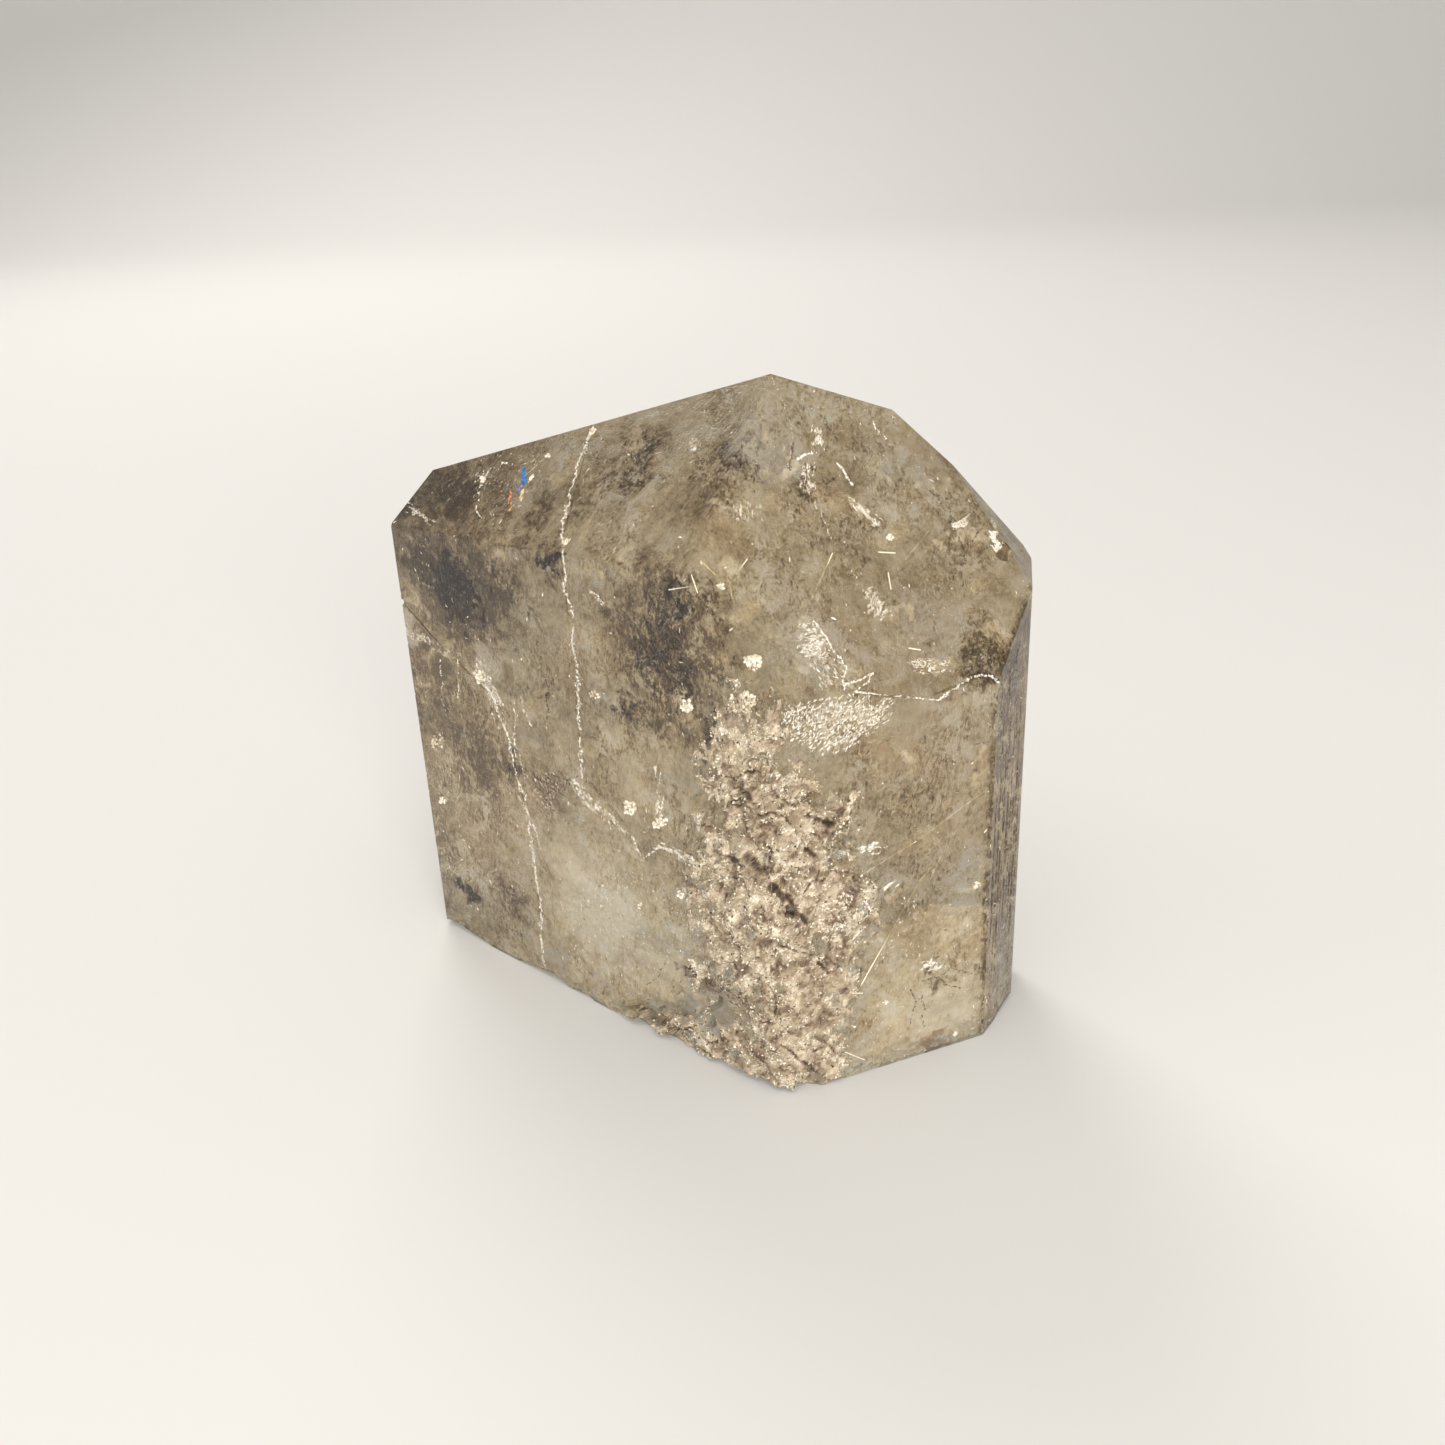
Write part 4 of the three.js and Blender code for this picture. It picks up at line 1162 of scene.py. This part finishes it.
def deep_veils(cluster, draw):
    """Milky sheets at all depths, and a rough one over the broken base."""
    add_base_veil(cluster)
    for _ in range(DEEP_VEILS):
        spans = zip(BOX_LOW, BOX_HIGH)
        centre = Vector([draw.uniform(0.8 * a + 0.2 * b, 0.2 * a + 0.8 * b) for a, b in spans])
        turn = random_turn(draw)
        sizes = (draw.uniform(5, 16), draw.uniform(4, 9))
        torn, bright = draw.uniform(-0.25, 0.05), draw.uniform(0.45, 0.8)
        add_veil(cluster, centre, turn.col, sizes, DEEP_SHEET, torn, bright)


def shallow_veils(cluster, draw):
    """Crisp torn films close under the faces."""
    for place, normal, along in random_spots(SHALLOW_VEILS, draw):
        if normal.z < -0.5:
            continue
        out = Matrix.Rotation(draw.gauss(0, 0.3), 3, along) @ normal
        centre = place - normal * draw.uniform(1.4, 4.0)
        axes = (along, out.cross(along), out)
        sizes = (draw.uniform(1.5, 4.5), draw.uniform(0.8, 2.6))
        torn, bright = draw.uniform(0.1, 0.35), draw.uniform(0.45, 0.75)
        add_veil(cluster, centre, axes, sizes, SHALLOW_SHEET, torn, bright)
    for x, y, depth, sizes, bright in PALE_VEILS:
        centre, normal = in_stone(x, y, depth)
        along = normal.cross(UP).normalized()
        axes = (along, normal.cross(along), normal)
        add_veil(cluster, centre, axes, sizes, PALE_SHEET, UNTORN, bright, PALE_FADE)


def cream_lumps(cluster, draw):
    for middle_x, middle_y, radius, count, bright in CREAM_LUMPS:
        for _ in range(count):
            turn, reach = draw.uniform(0, 2 * math.pi), radius * math.sqrt(draw.random())
            ragged = 0.75 + 0.5 * noise.noise(Vector((math.cos(turn) * 1.5, math.sin(turn) * 1.5, middle_x)))
            x, y = middle_x + reach * ragged * math.cos(turn), middle_y + reach * ragged * math.sin(turn)
            spot = in_stone(x, y, draw.uniform(-0.03, 0.12))
            if spot is None:
                continue
            size = draw.uniform(0.08, 0.26)
            add_grain(cluster, spot[0], size, draw, bounded(bright + draw.gauss(0, 0.14)))


def needles(cluster, draw):
    for start, end, start_depth, end_depth in NEEDLES:
        a, b = in_stone(*start, start_depth), in_stone(*end, end_depth)
        add_rod(cluster, a[0], b[0], draw.uniform(*PHOTO_NEEDLE_RADII), draw, draw.uniform(0.8, 1.0))
    ways = [Euler((math.radians(a), math.radians(b), 0)).to_matrix() @ UPRIGHT for a, b in NEEDLE_LEANS]
    placed = 0
    while placed < MORE_NEEDLES:
        middle = Vector([draw.uniform(a, b) for a, b in zip(BOX_LOW, BOX_HIGH)])
        way = (draw.choice(ways) + scattered(draw, 0.12)).normalized()
        half = way * draw.uniform(*NEEDLE_HALVES)
        if inside_stone(middle + half, 0.3) and inside_stone(middle - half, 0.3):
            radius, shade = draw.uniform(*NEEDLE_RADII), 0.6 * draw.random()
            add_rod(cluster, middle - half, middle + half, radius, draw, shade)
            placed += 1


# The pieces in or on the stone: name, what fills it, its own seed, its material and its slot.
PIECES = [
    ("etched_crust", etched_crust, 0, crust_material, "etched_crust"),
    ("etched_grains", etched_grains, 0, crust_material, "etched_crust"),
    ("frost_cracks_glints_and_shade", frost, 1, frost_material, "healed_fracture"),
    ("brown_lines", brown_lines, 6, crust_material, "etched_crust"),
    ("deep_veils", deep_veils, 8, veil_material, "healed_fracture"),
    ("shallow_veils", shallow_veils, 9, veil_material, "healed_fracture"),
    ("cream_lumps", cream_lumps, 2, crust_material, "etched_crust"),
    ("motes", motes, 4, mote_material, "healed_fracture"),
    ("rutile_needles", needles, 3, needle_material, "rutile"),
    ("rainbow_flash", rainbow_flash, 5, rainbow_material, "healed_fracture"),
]
for name, fill, own_seed, material, slot in PIECES:
    cluster = Cluster()
    fill(cluster, random.Random(SEED + own_seed))
    cluster.build(name, material, slot)


# The stage: a pale sweep, soft lights and the camera.
def add_sweep():
    half_width, front, back, rise, bend = 2000, -1500, 700, 1500, 400
    profile = [(front, 0), (0, 0)]
    for degrees in range(0, 91, 6):
        turn = math.radians(degrees)
        profile.append((back + bend * math.sin(turn), bend * (1 - math.cos(turn))))
    profile.append((back + bend, rise))
    along = Vector((FORWARD.x, FORWARD.y, 0)).normalized()
    side = Vector((-along.y, along.x, 0))
    points = [
        along * reach + side * across + Vector((0, 0, height))
        for reach, height in profile
        for across in (-half_width, half_width)
    ]
    faces = [(2 * i, 2 * i + 1, 2 * i + 3, 2 * i + 2) for i in range(len(profile) - 1)]
    material, _, shader = new_material("paper_sweep")
    shader.inputs["Base Color"].default_value = (0.80, 0.79, 0.77, 1)
    shader.inputs["Roughness"].default_value = 0.9
    mesh = bpy.data.meshes.new("sweep")
    mesh.from_pydata([tuple(p * MM) for p in points], [], faces)
    mesh.materials.append(material)
    for face in mesh.polygons:
        face.use_smooth = True
    sweep = bpy.data.objects.new("sweep", mesh)
    bpy.context.scene.collection.objects.link(sweep)


def add_area_light(name, azimuth, elevation, distance, size, watts, colour):
    light = bpy.data.lights.new(name, "AREA")
    light.shape = "DISK"
    light.size = size * MM
    light.energy = watts
    light.color = colour
    holder = bpy.data.objects.new(name, light)
    place = facing(azimuth, elevation) * distance
    holder.location = place * MM
    holder.rotation_euler = (-place).to_track_quat("-Z", "Y").to_euler()
    bpy.context.scene.collection.objects.link(holder)


def add_world(colour, strength):
    world = bpy.data.worlds.new("studio")
    world.use_nodes = True
    world.node_tree.nodes["Background"].inputs["Color"].default_value = (*colour, 1)
    world.node_tree.nodes["Background"].inputs["Strength"].default_value = strength
    bpy.context.scene.world = world


def add_camera():
    data = bpy.data.cameras.new("photo_camera")
    data.sensor_width = SENSOR
    data.lens = LENS
    data.clip_start = 0.005
    holder = bpy.data.objects.new("photo_camera", data)
    axes = Matrix((RIGHT, UP, -FORWARD)).transposed().to_4x4()
    holder.matrix_world = Matrix.Translation(CAMERA_PLACE * MM) @ axes
    bpy.context.scene.collection.objects.link(holder)
    bpy.context.scene.camera = holder


add_sweep()
add_area_light("softbox_top", -50, 70, 700, 600, 1.1, (1.0, 0.96, 0.90))
add_area_light("softbox_left", -130, 30, 800, 500, 0.5, (1.0, 0.97, 0.92))
add_area_light("softbox_right", -38, 16, 800, 500, 6.2, (1.0, 0.96, 0.90))
add_area_light("softbox_behind", 150, 40, 900, 500, 3.0, (1.0, 0.97, 0.92))
add_world((1.0, 0.98, 0.95), 0.46)
add_camera()
bpy.context.scene.view_settings.view_transform = "Standard"
cycles = bpy.context.scene.cycles
cycles.max_bounces = 4
cycles.diffuse_bounces = 1
cycles.glossy_bounces = 2
cycles.transmission_bounces = 4
cycles.light_sampling_threshold = 0.05
